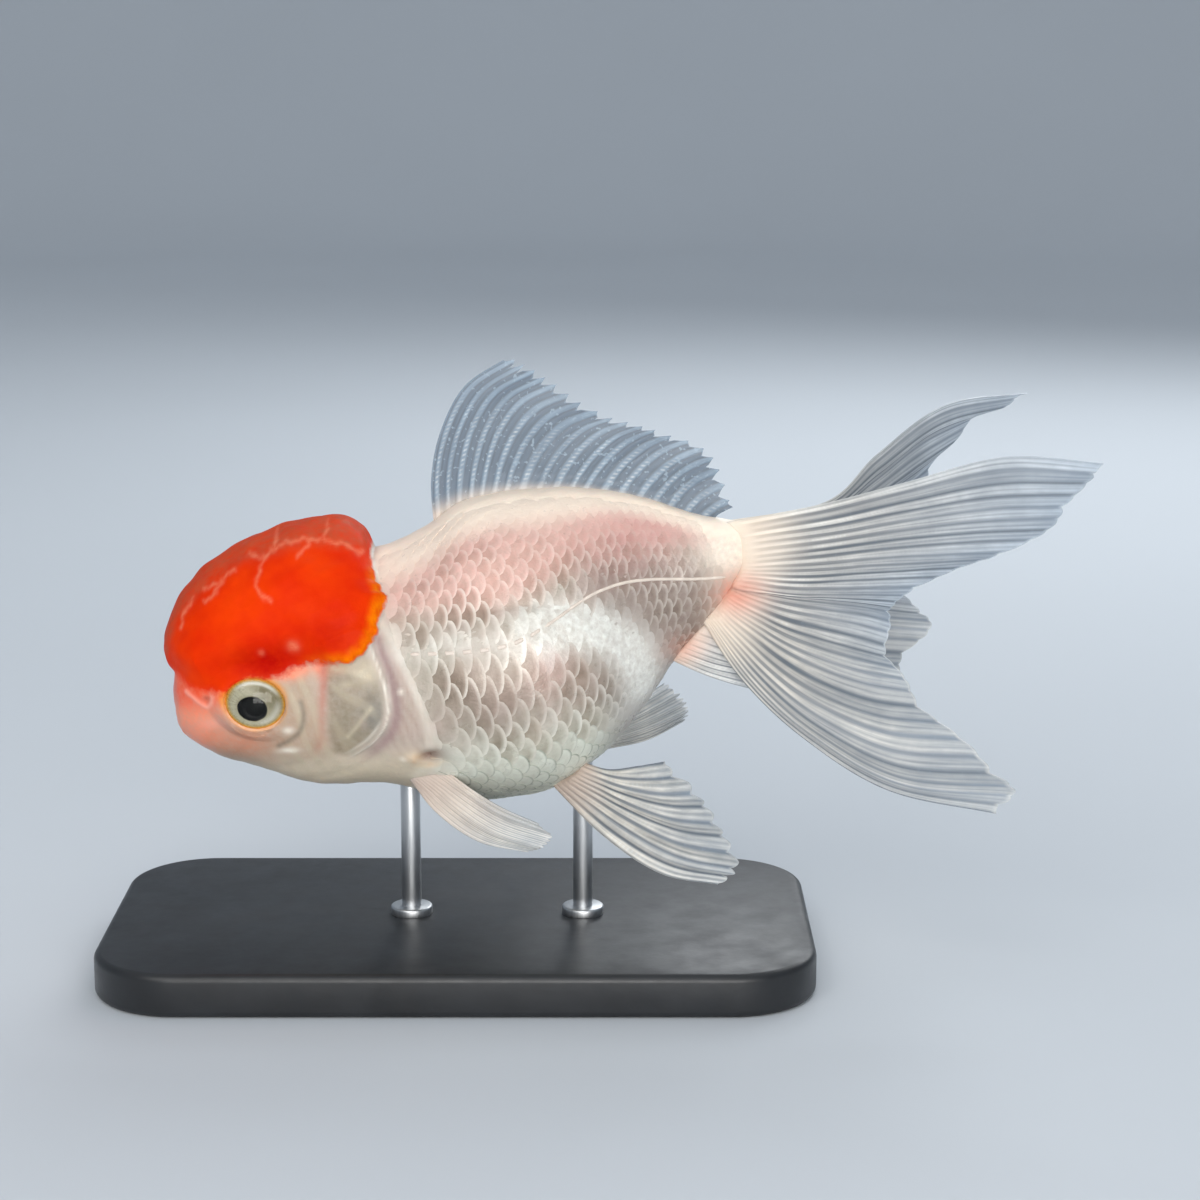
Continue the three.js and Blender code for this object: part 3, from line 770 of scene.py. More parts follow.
class Pattern:
    """The markings that the skin and the scales share, from the lowest layer to the top one."""

    def __init__(self, flesh: FleshForm) -> None:
        """Lists the markings.

        Args:
            flesh: The flesh whose lines they follow.
        """
        self.flesh = flesh
        flank, cheek = (6.0, 6.01), (5.0, 5.01)
        self.layers = (
            # Green-white underside, painted lighter to stand in for light from below, dull flank and stalk,
            # pink back with rosier patches.
            Marking("belly_white_and_painted_light", "#F0F4E6", 0.25,
                    (("z", -7.0, -17.0), ("x", -14.0, -2.0), ("x", 34.0, 24.0))),
            Marking("stalk_mauve", "#9A8981", 0.4, (("x", 15.0, 23.0), ("over", 6.0, 1.0), ("x", 43.0, 35.0)),
                    ((0.7, 2.0, -6.0, 7.0, 5.0),)),
            Marking("back_pink", "#EABCB0", 0.3, (("over", 3.0, 9.0), ("x", -13.0, -9.0), ("x", 47.0, 40.0))),
            Marking("back_flush", "#D0948E", 0.45, (), (
                (0.75, 28.0, 12.0, 10.0, 4.2), (0.225, 2.0, 17.0, 7.0, 2.6), (0.45, 12.0, -3.0, 5.0, 4.5),
            )),
            # Painted highlights over the belly and a painted highlight band down the dome's rear, and the
            # cream ridge, partly a painted highlight on top.
            Marking("pearl", "#FAFAF2", 0.5, (), ((1.0, 12.0, 1.6, 7.0, 3.6), (0.7, -3.0, 2.5, 7.0, 1.8)),
                    self.dome_rear_highlight, 1.3),
            Marking("ridge_cream_highlight", "#FFECD8", 0.1, (("x", -13.5, -10.5),), (), self.ridge),
            # Olive-grey jaw and throat, painted paler to stand in for light from below, pink-grey cheek with
            # silver streaks behind the eye.
            Marking("jaw_grey_and_painted_light", "#EBDCC2", 0.25, (("z", -9.0, -16.0), ("x", -6.0, -14.0)), share=0.9),
            Marking("cheek_pink", "#B3967F", 0.4, (("x", -20.0, -26.0), ("z", -15.0, -9.0))),
            Marking("cheek_silver", "#C4B9A1", 0.6, (), (), self.cheek_streaks, side=(3.0, 8.0)),
            # Salmon snout, redder under the cap, with the pink flaps of the nostrils.
            Marking("snout_salmon", "#FA9270", 0.3, (), (
                (0.5, -37.5, -8.0, 4.5, 3.0), (0.8, -27.0, 2.4, 2.4, 1.2), (0.7, -19.4, 2.0, 1.6, 0.9),
                (0.8, -22.0, 2.2, 1.2, 1.6),
            ), self.snout_flush),
            Marking("snout_red", "#E84E28", 0.3, (("x", -38.0, -42.5), ("z", -3.6, 1.0)),
                    ((0.4, -39.2, 0.2, 1.3, 1.4),), share=0.95),
            Marking("flap_pink", "#F8AC98", 0.1, (), ((0.5, -41.6, -4.4, 2.4, 1.1),),
                    self.flap, 0.7, (4.0, 4.01)),
            # Dull silver gill cover, blue-grey at its rear, with paler streaks fanning over it.
            Marking("plate_grey", "#8B7D65", 0.4, (("plate", 0.2, 1.8),), share=0.8, side=(5.0, 9.0)),
            Marking("plate_blue", "#7A7A76", 0.2, (("plate", 0.5, 1.5),), (), self.plate_rear, 0.75, cheek),
            Marking("plate_streak", "#D0C3AA", 0.5, (), (), self.plate_fan),
            # Bare pink band between gill cover and scales, painted purple shadow in the slit, red streak
            # before the cover.
            Marking("shoulder_pink", "#AE988C", 0.4, (
                ("plate", -0.2, -1.4), ("coat", 0.6, -0.6), ("x", -15.5, -12.5), ("z", -15.0, -9.0),
            ), (), self.shoulder_streaks),
            Marking("slit_purple_shadow", "#957779", 0.2, (("x", -21.0, -15.0), ("z", 9.0, 5.0)), (),
                    self.slit, 0.75, (5.0, 9.0)),
            Marking("gill_pink", "#C07A6A", 0.3, (("z", -13.0, -10.0),), (), self.gill_streak),
            # Pale edges and dots of the bones, with painted highlights on the cheek beside the groove under
            # the eye, painted shade in the grooves between them, and darker spots on the gill cover.
            Marking("bone_edge_and_highlight", "#F6F0E2", 0.3, (), (
                (0.8, -29.4, -6.7, 0.9, 0.6), (0.9, -30.3, -10.3, 1.7, 0.55), (1.0, -12.2, -13.6, 0.6, 0.5),
                (1.0, 14.6, -21.6, 0.9, 0.5), (0.7, 41.2, -2.0, 1.0, 0.7), (0.6, -8.0, -15.2, 0.7, 0.4),
                (0.8, -10.5, -2.9, 0.45, 0.45), (0.5, -10.6, -13.2, 0.8, 0.6),
            ), self.bone_rims, side=(3.0, 6.0)),
            Marking("groove_shade_and_plate_spot", "#847A6B", 0.3, (), (
                (0.8, -15.3, -3.2, 0.8, 0.55), (0.5, -15.5, -2.4, 0.3, 1.0),
            ), self.orbit_groove, 0.8, (4.0, 8.0)),
            # Cream tail root with its salmon patches, its top partly a painted highlight, and the straw
            # fringe of the pit by each fin, whose brown is partly painted shade.
            Marking("tail_cream_highlight", "#FFEFDE", 0.5, (("x", 35.0, 43.0), ("z", 0.5, 7.0))),
            Marking("tail_salmon", "#EC9C84", 0.6, (), (
                (0.85, 43.0, 0.4, 4.0, 3.0), (0.425, 33.0, -7.0, 3.4, 2.4),
            )),
            Marking("axil_straw", "#E6C8A2", 0.4, (), (
                (0.9, -10.3, -13.4, 1.5, 1.0), (0.72, -8.2, -14.9, 2.0, 0.7),
            ), side=flank),
            Marking("axil_brown_shade", "#6A3C2A", 0.2, (), ((0.95, -7.8, -13.4, 2.0, 1.1),), side=flank),
            # Dark red mouth and nostrils, partly painted shade in the slit and pits, and the gold line that
            # rings each eye.
            Marking("mouth_red_shade", "#B0604E", 0.1, (), (), self.mouth),
            Marking("orbit_gold", "#E8921E", 0.3, (), (), self.orbit_ring, side=flank),
        )

    def place(self, points: Field) -> Place:
        """Measures where points lie.

        Args:
            points: Points of the bare flesh.

        Returns:
            Their places.
        """
        x, y, z = np.moveaxis(points, -1, 0)
        over = z - self.flesh.lateral_line.height_at(x)
        return Place(x, y, z, over, self.flesh.cheek.plate(x, z), self.flesh.coat_front.near(x, z)[0])

    def strength(self, name: str, points: Field) -> Field:
        """Returns the named marking's strength at points of the bare flesh."""
        return next(layer for layer in self.layers if layer.name == name).strength(self.place(points))

    def measure(self, points: Field, surface: Optional[Field] = None) -> dict:
        """Measures the whole pattern.

        Args:
            points: Points of the bare flesh.
            surface: The same points on the finished skin, which the cap's tones follow.

        Returns:
            Every marking's strength, keyed by its name.
        """
        at = self.place(points)
        found = {layer.name: layer.strength(at) for layer in self.layers}
        return {**found, **self.cap_strengths(at, points if surface is None else surface)}

    def cap_strengths(self, at: Place, surface: Field) -> dict:
        """Measures where the red cap lies and how its tones spread over it.

        Args:
            at: Where the points lie on the bare flesh.
            surface: The same points on the finished skin.

        Returns:
            The strengths of the cap and of its tones.
        """
        cap = self.flesh.cap
        inside = cap.inside(at.x, at.y, at.z)
        soft = smoothstep(-16.5, -23.0, at.x)
        spill = 1.0 * smoothstep(-26.0, -31.0, at.x) - 1.3 * smoothstep(-37.5, -41.0, at.x)
        red = smoothstep(-0.2 - 1.2 * soft, 0.25 + 1.1 * soft, inside + spill)
        rear = smoothstep(-27.0, -16.0, at.x)
        x, _, z = np.moveaxis(surface, -1, 0)
        deep = np.maximum(spot(x, z, (-30.0, 4.6), (7.0, 3.4)), 0.6 * spot(x, z, (-20.0, 7.0), (7.0, 4.0)))
        pink = spot(x, z, (-25.8, 6.6), (0.9, 0.9)) + 0.6 * spot(x, z, (-31.0, 6.4), (0.5, 0.5))
        band = np.interp(x, (-49.0, -44.0, -38.0, -32.0, -22.0, -13.0), (3.0, 12.6, 17.2, 19.8, 20.8, 18.0))
        return {
            "cap_red": red,
            "cap_rim": red * rear * smoothstep(1.9, 0.3, inside) * smoothstep(17.0, 13.0, z),
            "cap_deep": deep,
            # The crown's dusky tone is partly painted sheen: paler where thick skin would be seen edge-on.
            "cap_crown_sheen": smoothstep(-1.2, 1.4, z - band),
            "cap_vein": np.clip(0.8 * cap.vein(x, z, 0.3) + pink, 0.0, 1.0),
        }

    def dome_rear_highlight(self, at: Place) -> Field:
        """Measures the painted highlight band round the rear of the belly's dome.

        Args:
            at: Where the points lie.

        Returns:
            Its strength.
        """
        belly = self.flesh.belly
        across, up = (at.x - belly.x) / belly.half_length, (at.z - belly.z) / belly.half_height
        band = bump(np.hypot(across, up) - 0.88, 0.16)
        return band * smoothstep(0.1, 0.6, across) * smoothstep(-0.6, 0.0, up)

    def ridge(self, at: Place) -> Field:
        """Returns the cream band along the back and the nape, partly a painted highlight, narrower behind the
        dorsal fin's middle.
        """
        reach = lerp(6.0, 3.6, smoothstep(14.0, 28.0, at.x))
        return smoothstep(reach, 0.3 * reach, self.flesh.bare_top(at.x) - at.z)

    def cheek_streaks(self, at: Place) -> Field:
        """Measures the streaks that run down the cheek behind the eye.

        Args:
            at: Where the points lie.

        Returns:
            Their strength.
        """
        streaks = smoothstep(-0.2, 0.8, np.sin(2.4 * at.x + 0.35 * at.z + 0.8 * np.sin(0.5 * at.z)))
        patch = spots(at.x, at.z, ((1.0, -26.2, -3.0, 2.6, 7.0), (0.8, -28.0, -12.0, 6.0, 3.0)))
        return patch * (0.3 + 0.7 * streaks)

    def snout_flush(self, at: Place) -> Field:
        """Measures the flush over the snout and along the cap's lower edge.

        Args:
            at: Where the points lie.

        Returns:
            Its strength.
        """
        front = smoothstep(-36.0, -44.0, at.x - 0.5 * (at.z + 4.0)) * smoothstep(-14.0, -7.0, at.z)
        fading = 0.35 * bump(self.flesh.cap.inside(at.x, at.y, at.z) + 0.5, 0.9)
        return front + fading * smoothstep(-19.0, -23.0, at.x)

    def flap(self, at: Place) -> Field:
        """Returns the edge of the nostrils' flaps."""
        return self.flesh.snout.flap.stroke(at.x, at.z, 0.4)

    def plate_rear(self, at: Place) -> Field:
        """Returns the rear of the gill cover."""
        return spot(at.x, at.z, (-15.0, -6.0), (2.4, 3.2))

    def plate_fan(self, at: Place) -> Field:
        """Measures the streaks that fan over the gill cover, and its pale fold and patches.

        Args:
            at: Where the points lie.

        Returns:
            Their strength.
        """
        fan = np.arctan2(at.z - 5.5, at.x + 25.0)
        streaks = smoothstep(0.25, 0.95, np.sin(fan * 19.0 + 1.5 * np.sin(0.5 * at.x)))
        patches = ((0.9, -15.2, 0.8, 2.0, 1.8), (0.5, -18.8, -0.6, 1.3, 0.6), (0.4, -19.0, 2.2, 2.5, 1.0))
        pale = 0.6 * self.flesh.cheek.plate_fold.stroke(at.x, at.z, 0.4) + spots(at.x, at.z, patches)
        return 0.3 * streaks * smoothstep(0.8, 2.5, at.plate) + pale * (np.abs(at.y) > 5.0)

    def shoulder_streaks(self, at: Place) -> Field:
        """Returns the shoulder's fine streaks, strongest below."""
        streaks = 0.75 + 0.25 * np.sin(4.2 * (at.x + 0.3 * at.z) + 0.6 * np.sin(at.z))
        return streaks * lerp(0.95, 0.25, smoothstep(-3.0, 5.0, at.z))

    def slit(self, at: Place) -> Field:
        """Returns the shade behind the gill cover's free edge."""
        return bump(at.plate + 1.1, 0.9)

    def gill_streak(self, at: Place) -> Field:
        """Returns the streak down the front of the gill cover, strongest at its top."""
        streak = self.flesh.cheek.front_groove.stroke(at.x, at.z, 0.75)
        return streak * lerp(0.35, 0.85, smoothstep(-9.0, 3.0, at.z))

    def bone_rims(self, at: Place) -> Field:
        """Measures the edges of the gill cover and of the shoulder bone.

        Args:
            at: Where the points lie.

        Returns:
            Their strength.
        """
        free = smoothstep(-23.0, -18.0, at.x)
        rim = 0.65 * bump(at.plate - 0.2, 0.16) * free
        lower = 0.5 * bump(at.plate - 1.2, 0.22) * smoothstep(-6.0, -8.5, at.z) * free
        return rim + lower + 0.3 * self.flesh.cheek.shoulder.stroke(at.x, at.z, 0.8)

    def orbit_groove(self, at: Place) -> Field:
        """Returns the groove round the cheek under the eye, where shade is painted."""
        return self.flesh.cheek.orbit_groove.stroke(at.x, at.z, 0.45)

    def mouth(self, at: Place) -> Field:
        """Measures the mouth's slit and the nostrils' pits, where shade is painted over the mouth's red.

        Args:
            at: Where the points lie.

        Returns:
            Their strength.
        """
        snout = self.flesh.snout
        slit = bump(snout.mouth_drop(at.y, at.z), 0.4) * snout.gape(at.x, at.y)
        pit = 0.7 * spot(at.x, at.z, snout.nostril, (0.8, 0.5)) * (np.abs(at.y) > 4.0)
        return 0.7 * slit + pit

    def orbit_ring(self, at: Place) -> Field:
        """Measures the line that rings each eye, widest above it.

        Args:
            at: Where the points lie.

        Returns:
            Its strength.
        """
        above = smoothstep(-1.0, 3.0, at.z - self.flesh.eye.z)
        gap = self.flesh.eye.opening(at.x, at.z)
        return bump(gap - 1.04, lerp(0.05, 0.16, above)) * lerp(0.45, 1.0, above)


# ---------------------------------------------------------------- nodes and finishes


def linear(colour: str) -> tuple:
    """Returns an sRGB hex colour as the linear red, green, blue and alpha that Blender reads."""
    parts = [int(colour[i:i + 2], 16) / 255.0 for i in (1, 3, 5)]
    return (*[c / 12.92 if c <= 0.04045 else ((c + 0.055) / 1.055) ** 2.4 for c in parts], 1.0)


def add_node(
    tree: bpy.types.NodeTree, kind: str, inputs: Optional[dict] = None, **settings
) -> bpy.types.Node:
    """Adds one shader node.

    Args:
        tree: The material's node tree.
        kind: The node's type.
        inputs: Sockets by name or number, each with a value or the output socket that feeds it.
        **settings: Properties of the node itself.

    Returns:
        The new node.
    """
    made = tree.nodes.new(kind)
    for name, value in settings.items():
        setattr(made, name, value)
    for key, value in (inputs or {}).items():
        if isinstance(value, bpy.types.NodeSocket):
            tree.links.new(value, made.inputs[key])
        else:
            made.inputs[key].default_value = value
    return made


class Blend(Enum):
    """Socket numbers of Blender's Mix node when it mixes colours."""

    FACTOR = 0
    FIRST = 6
    SECOND = 7
    RESULT = 2


@dataclass
class Finish:
    """A surface finish, built as one Blender material.

    Attributes:
        name: The material's name, after the real surface.
        roughness: The shader's roughness.
        metallic: The shader's metallic share.
    """

    name: str
    roughness: float = 0.4
    metallic: float = 0.0
    material: bpy.types.Material = field(init=False, default=None)

    def start(self) -> tuple:
        """Makes the material.

        Returns:
            Its node tree, its shader node and the Object coordinates.
        """
        self.material = bpy.data.materials.new(self.name)
        self.material.use_nodes = True
        tree = self.material.node_tree
        tree.nodes.clear()
        shader = add_node(tree, "ShaderNodeBsdfPrincipled", {
            "Roughness": self.roughness, "Metallic": self.metallic,
        })
        add_node(tree, "ShaderNodeOutputMaterial", {"Surface": shader.outputs["BSDF"]})
        place = add_node(tree, "ShaderNodeTexCoord").outputs["Object"]
        return tree, shader, place

    def mix(self, tree: bpy.types.NodeTree, share: object, first: object, second: object,
            way: str = "MIX") -> bpy.types.NodeSocket:
        """Mixes two colours.

        Args:
            tree: The material's node tree.
            share: How much of the second shows, as a number or a socket.
            first: The lower colour.
            second: The upper colour.
            way: Blender's name of how they mix.

        Returns:
            The mixed colour's socket.
        """
        made = add_node(tree, "ShaderNodeMix", {
            Blend.FACTOR.value: share, Blend.FIRST.value: first, Blend.SECOND.value: second,
        }, data_type="RGBA", blend_type=way)
        return made.outputs[Blend.RESULT.value]


def grain(tree: bpy.types.NodeTree, place: bpy.types.NodeSocket, size_mm: float, detail: float,
          low: float, high: float) -> bpy.types.NodeSocket:
    """Adds uneven grain of a real size.

    Args:
        tree: The material's node tree.
        place: The coordinates that it follows.
        size_mm: The size of its features, in millimetres.
        detail: How many finer layers it has.
        low: Its value where it is weakest.
        high: Its value where it is strongest.

    Returns:
        The socket of its strength.
    """
    noise = add_node(tree, "ShaderNodeTexNoise", {
        "Vector": place, "Scale": 1000.0 / size_mm, "Detail": detail, "Roughness": 0.6,
    })
    spread = add_node(tree, "ShaderNodeMapRange", {
        "Value": noise.outputs["Fac"], "From Min": 0.3, "From Max": 0.7, "To Min": low, "To Max": high,
    })
    return spread.outputs["Result"]


@dataclass
class FishSkin(Finish):
    """Living fish skin: silver pigment under a thin clear film of slime, which gives a wet sheen.

    Attributes:
        pattern: The markings that it shows.
        sheen_depth: Subsurface share, which softens the cap and the pale skin.
    """

    pattern: Pattern = None
    sheen_depth: float = 0.12

    def markings(self, tree: bpy.types.NodeTree, place: bpy.types.NodeSocket) -> bpy.types.NodeSocket:
        """Lays the pattern's colours over the silver ground.

        Args:
            tree: The material's node tree.
            place: Object coordinates.

        Returns:
            The socket of the finished colour.
        """
        patches = grain(tree, place, 5.0, 3.0, 0.0, 1.0)
        colour = self.mix(tree, patches, linear("#B2AA9B"), linear("#C9B9AE"))
        fine = grain(tree, place, 0.9, 4.0, 0.0, 1.0)
        for layer in self.pattern.layers:
            strength = add_node(tree, "ShaderNodeAttribute", attribute_name=layer.name)
            broken = add_node(tree, "ShaderNodeMapRange", {
                "Value": fine, "To Min": 1.0 - layer.mottle, "To Max": 1.0,
            })
            share = add_node(tree, "ShaderNodeMath", {
                0: strength.outputs["Fac"], 1: broken.outputs["Result"],
            }, operation="MULTIPLY")
            colour = self.mix(tree, share.outputs[0], colour, linear(layer.colour))
        return self.cap(tree, place, colour)

    def cap(self, tree: bpy.types.NodeTree, place: bpy.types.NodeSocket,
            skin: bpy.types.NodeSocket) -> bpy.types.NodeSocket:
        """Lays the red cap over the skin.

        Args:
            tree: The material's node tree.
            place: Object coordinates.
            skin: The colour under the cap.

        Returns:
            The socket of the colour with the cap on it.
        """
        drift = grain(tree, place, 6.0, 2.0, 0.0, 1.0)
        red = self.mix(tree, drift, linear("#DC2A00"), linear("#E83A00"))
        # The crown tone is partly painted sheen along the top of the cap.
        tones = (("cap_deep", "#B40400", 0.7, 1.0), ("cap_crown_sheen", "#BE5233", 0.3, 0.9),
                 ("cap_vein", "#EC8463", 0.3, 0.85), ("cap_rim", "#FA8600", 0.4, 1.0))
        for name, tone, least, most in tones:
            strength = add_node(tree, "ShaderNodeAttribute", attribute_name=name)
            uneven = grain(tree, place, 1.7, 3.0, least, most)
            share = add_node(tree, "ShaderNodeMath", {
                0: strength.outputs["Fac"], 1: uneven,
            }, operation="MULTIPLY")
            red = self.mix(tree, share.outputs[0], red, linear(tone))
        edge = add_node(tree, "ShaderNodeAttribute", attribute_name="cap_red").outputs["Fac"]
        ragged = add_node(tree, "ShaderNodeMath", {0: edge, 1: grain(tree, place, 1.1, 3.0, -0.2, 0.2)},
                          operation="ADD").outputs[0]
        ragged = add_node(tree, "ShaderNodeMapRange", {
            "Value": ragged, "From Min": 0.2, "From Max": 0.8,
        }).outputs["Result"]
        return self.mix(tree, ragged, skin, red)

    def finish_shader(self, tree: bpy.types.NodeTree, shader: bpy.types.Node,
                      place: bpy.types.NodeSocket, colour: bpy.types.NodeSocket) -> None:
        """Adds the wet film, the soft depth and the fine relief.

        Args:
            tree: The material's node tree.
            shader: The shader node.
            place: Object coordinates.
            colour: The finished colour.
        """
        pores = grain(tree, place, 0.45, 3.0, 0.0, 1.0)
        relief = add_node(tree, "ShaderNodeBump", {
            "Height": pores, "Strength": 0.22, "Distance": 0.1 * MM,
        })
        wet = grain(tree, place, 2.5, 2.0, self.roughness - 0.05, self.roughness + 0.1)
        cap = add_node(tree, "ShaderNodeAttribute", attribute_name="cap_red").outputs["Fac"]
        wet = add_node(tree, "ShaderNodeMath", {0: cap, 1: 0.2, 2: wet}, operation="MULTIPLY_ADD").outputs[0]
        glossy = add_node(tree, "ShaderNodeMath", {0: cap, 1: -0.31, 2: 0.35}, operation="MULTIPLY_ADD")
        gloss = glossy.outputs[0]
        tree.links.new(gloss, shader.inputs["Specular IOR Level"])
        tree.links.new(colour, shader.inputs["Base Color"])
        tree.links.new(wet, shader.inputs["Roughness"])
        tree.links.new(relief.outputs["Normal"], shader.inputs["Normal"])
        shader.inputs["Coat Weight"].default_value = 0.03
        shader.inputs["Coat Roughness"].default_value = 0.2
        shader.inputs["Coat IOR"].default_value = 1.35
        shader.inputs["Subsurface Weight"].default_value = self.sheen_depth
        shader.inputs["Subsurface Radius"].default_value = (1.0, 0.45, 0.3)
        shader.inputs["Subsurface Scale"].default_value = 1.5 * MM

    def build(self) -> bpy.types.Material:
        """Builds the bare skin's material.

        Returns:
            The material.
        """
        tree, shader, place = self.start()
        self.finish_shader(tree, shader, place, self.markings(tree, place))
        return self.material


@dataclass
class ScaleFinish(FishSkin):
    """Overlapping bony scales: see-through plates over silver, with a paler free rim."""

    def build(self) -> bpy.types.Material:
        """Builds the scales' material: the skin's markings, duller centres darkened further towards their
        covered front as painted shadow, and bright rims.

        Returns:
            The material.
        """
        tree, shader, place = self.start()
        colour = self.markings(tree, place)
        contrast = add_node(tree, "ShaderNodeAttribute", attribute_name="contrast").outputs["Fac"]
        uneven = grain(tree, place, 4.5, 4.0, 0.1, 1.0)
        tone = add_node(tree, "ShaderNodeAttribute", attribute_name="tone").outputs["Fac"]
        tone = add_node(tree, "ShaderNodeMath", {0: tone, 1: contrast}, operation="MULTIPLY").outputs[0]
        colour = self.mix(tree, tone, colour, linear("#E4DCD6"), "MULTIPLY")
        edge = add_node(tree, "ShaderNodeAttribute", attribute_name="edge").outputs["Fac"]
        seam = add_node(tree, "ShaderNodeAttribute", attribute_name="seam").outputs["Fac"]
        # The first tint darkens each scale towards its covered front: painted shadow of the scale in front.
        for low, high, most, tint, way, shown in ((0.3, 1.0, 1.0, "#BCB4AC", "MULTIPLY", contrast),
                                                  (0.55, 0.15, 0.62, "#E8E1D6", "MIX", contrast),
                                                  (0.34, 0.1, 0.9, "#8D968A", "MULTIPLY", seam)):
            share = add_node(tree, "ShaderNodeMapRange", {
                "Value": edge, "From Min": low, "From Max": high, "To Max": most,
            }).outputs["Result"]
            for source in (shown, uneven):
                both = add_node(tree, "ShaderNodeMath", {0: share, 1: source}, operation="MULTIPLY")
                share = both.outputs[0]
            colour = self.mix(tree, share, colour, linear(tint), way)
        self.finish_shader(tree, shader, place, colour)
        return self.material


@dataclass
class PoreFinish(Finish):
    """The pale bony tubes of the side line."""

    def build(self) -> bpy.types.Material:
        """Builds the bone with faint uneven colour.

        Returns:
            The material.
        """
        tree, shader, place = self.start()
        colour = self.mix(tree, grain(tree, place, 1.5, 3.0, 0.0, 1.0), linear("#D2C4B8"), linear("#E6D9CC"))
        tree.links.new(colour, shader.inputs["Base Color"])
        return self.material


@dataclass
class FinFinish(Finish):
    """Fin membrane: thin clear skin between white bony rays, blue-white towards its edge."""

    root: str = "#F6E6D4"

    def build(self) -> bpy.types.Material:
        """Builds the fin's material from its attributes.

        Returns:
            The material.
        """
        tree, shader, place = self.start()
        ray, reach, fold, segment, root, clear, warm, count, along, flush, dull = (
            add_node(tree, "ShaderNodeAttribute", attribute_name=name).outputs["Fac"]
            for name in ("ray", "reach", "fold", "segment", "root", "clear", "warm", "count", "along",
                         "flush", "dull")
        )
        lines = add_node(tree, "ShaderNodeCombineXYZ", {"X": count, "Y": reach})
        strand = add_node(tree, "ShaderNodeTexNoise", {
            "Vector": lines.outputs[0], "Scale": 4.5, "Detail": 3.0, "Roughness": 0.6,
        })
        strand = add_node(tree, "ShaderNodeMapRange", {
            "Value": strand.outputs["Fac"], "From Min": 0.35, "From Max": 0.65,
        }).outputs["Result"]
        tip = add_node(tree, "ShaderNodeMapRange", {"Value": reach, "From Min": 0.35}).outputs["Result"]
        film = self.mix(tree, reach, linear("#A8A49E"), linear("#8B98A6"))
        film = self.mix(tree, clear, film, linear("#5F7183"))
        # Painted shade darkens the film in the folds and beside the rays.
        film = self.mix(tree, fold, film, linear("#5A6672"))
        film = self.mix(tree, strand, self.mix(tree, 0.3, film, linear("#4C5864")), film)
        specks = add_node(tree, "ShaderNodeMath", {0: grain(tree, place, 0.7, 1.0, -3.0, 0.7), 1: clear},
                          operation="MULTIPLY", use_clamp=True).outputs[0]
        film = self.mix(tree, specks, film, linear("#9DB0BE"))
        cold = self.mix(tree, tip, linear("#F4EFE6"), linear("#D6E0EA"))
        warmer = self.mix(tree, tip, linear("#FFF4E2"), linear("#F6F2E8"))
        bone = self.mix(tree, warm, cold, warmer)
        bone = self.mix(tree, clear, bone, linear("#8C9FAF"))
        wave = add_node(tree, "ShaderNodeMath", {0: along, 1: 2.0 * math.pi / 0.75}, operation="MULTIPLY")
        wave = add_node(tree, "ShaderNodeMath", {0: wave.outputs[0]}, operation="SINE").outputs[0]
        beaded = add_node(tree, "ShaderNodeMapRange", {"Value": wave, "From Min": -0.2, "From Max": 0.6})
        beads = beaded.outputs["Result"]
        beads = add_node(tree, "ShaderNodeMath", {0: segment, 1: beads}, operation="MULTIPLY").outputs[0]
        beads = add_node(tree, "ShaderNodeMath", {0: beads, 1: grain(tree, place, 2.5, 2.0, 0.0, 0.7)},
                         operation="MULTIPLY").outputs[0]
        bone = self.mix(tree, beads, bone, linear("#F8F8F4"))
        shown = ray
        for patches in (
            grain(tree, place, 2.2, 3.0, 0.8, 1.0), grain(tree, place, 9.0, 2.0, 0.65, 1.1),
            add_node(tree, "ShaderNodeMapRange", {"Value": strand, "To Min": 0.7}).outputs["Result"],
        ):
            shown = add_node(tree, "ShaderNodeMath", {0: shown, 1: patches}, operation="MULTIPLY").outputs[0]
        colour = self.mix(tree, shown, film, bone)
        colour = self.mix(tree, root, colour, self.mix(tree, dull, linear(self.root), linear("#D2BFB2")))
        colour = self.mix(tree, flush, colour, linear("#EC9C84"))
        solid = add_node(tree, "ShaderNodeMapRange", {
            "Value": shown, "From Min": 0.0, "From Max": 0.8, "To Min": 0.78, "To Max": 1.0,
        }).outputs["Result"]
        alpha = add_node(tree, "ShaderNodeMath", {0: solid, 1: root}, operation="MAXIMUM").outputs[0]
        relief = add_node(tree, "ShaderNodeBump", {
            "Height": strand, "Strength": 0.3, "Distance": 0.1 * MM,
        })
        tree.links.new(colour, shader.inputs["Base Color"])
        tree.links.new(alpha, shader.inputs["Alpha"])
        tree.links.new(relief.outputs["Normal"], shader.inputs["Normal"])
        shader.inputs["Coat Weight"].default_value = 0.15
        shader.inputs["Coat Roughness"].default_value = 0.2
        shader.inputs["Subsurface Weight"].default_value = 0.5
        shader.inputs["Subsurface Radius"].default_value = (1.0, 0.95, 0.9)
        shader.inputs["Subsurface Scale"].default_value = 1.2 * MM
        return self.material


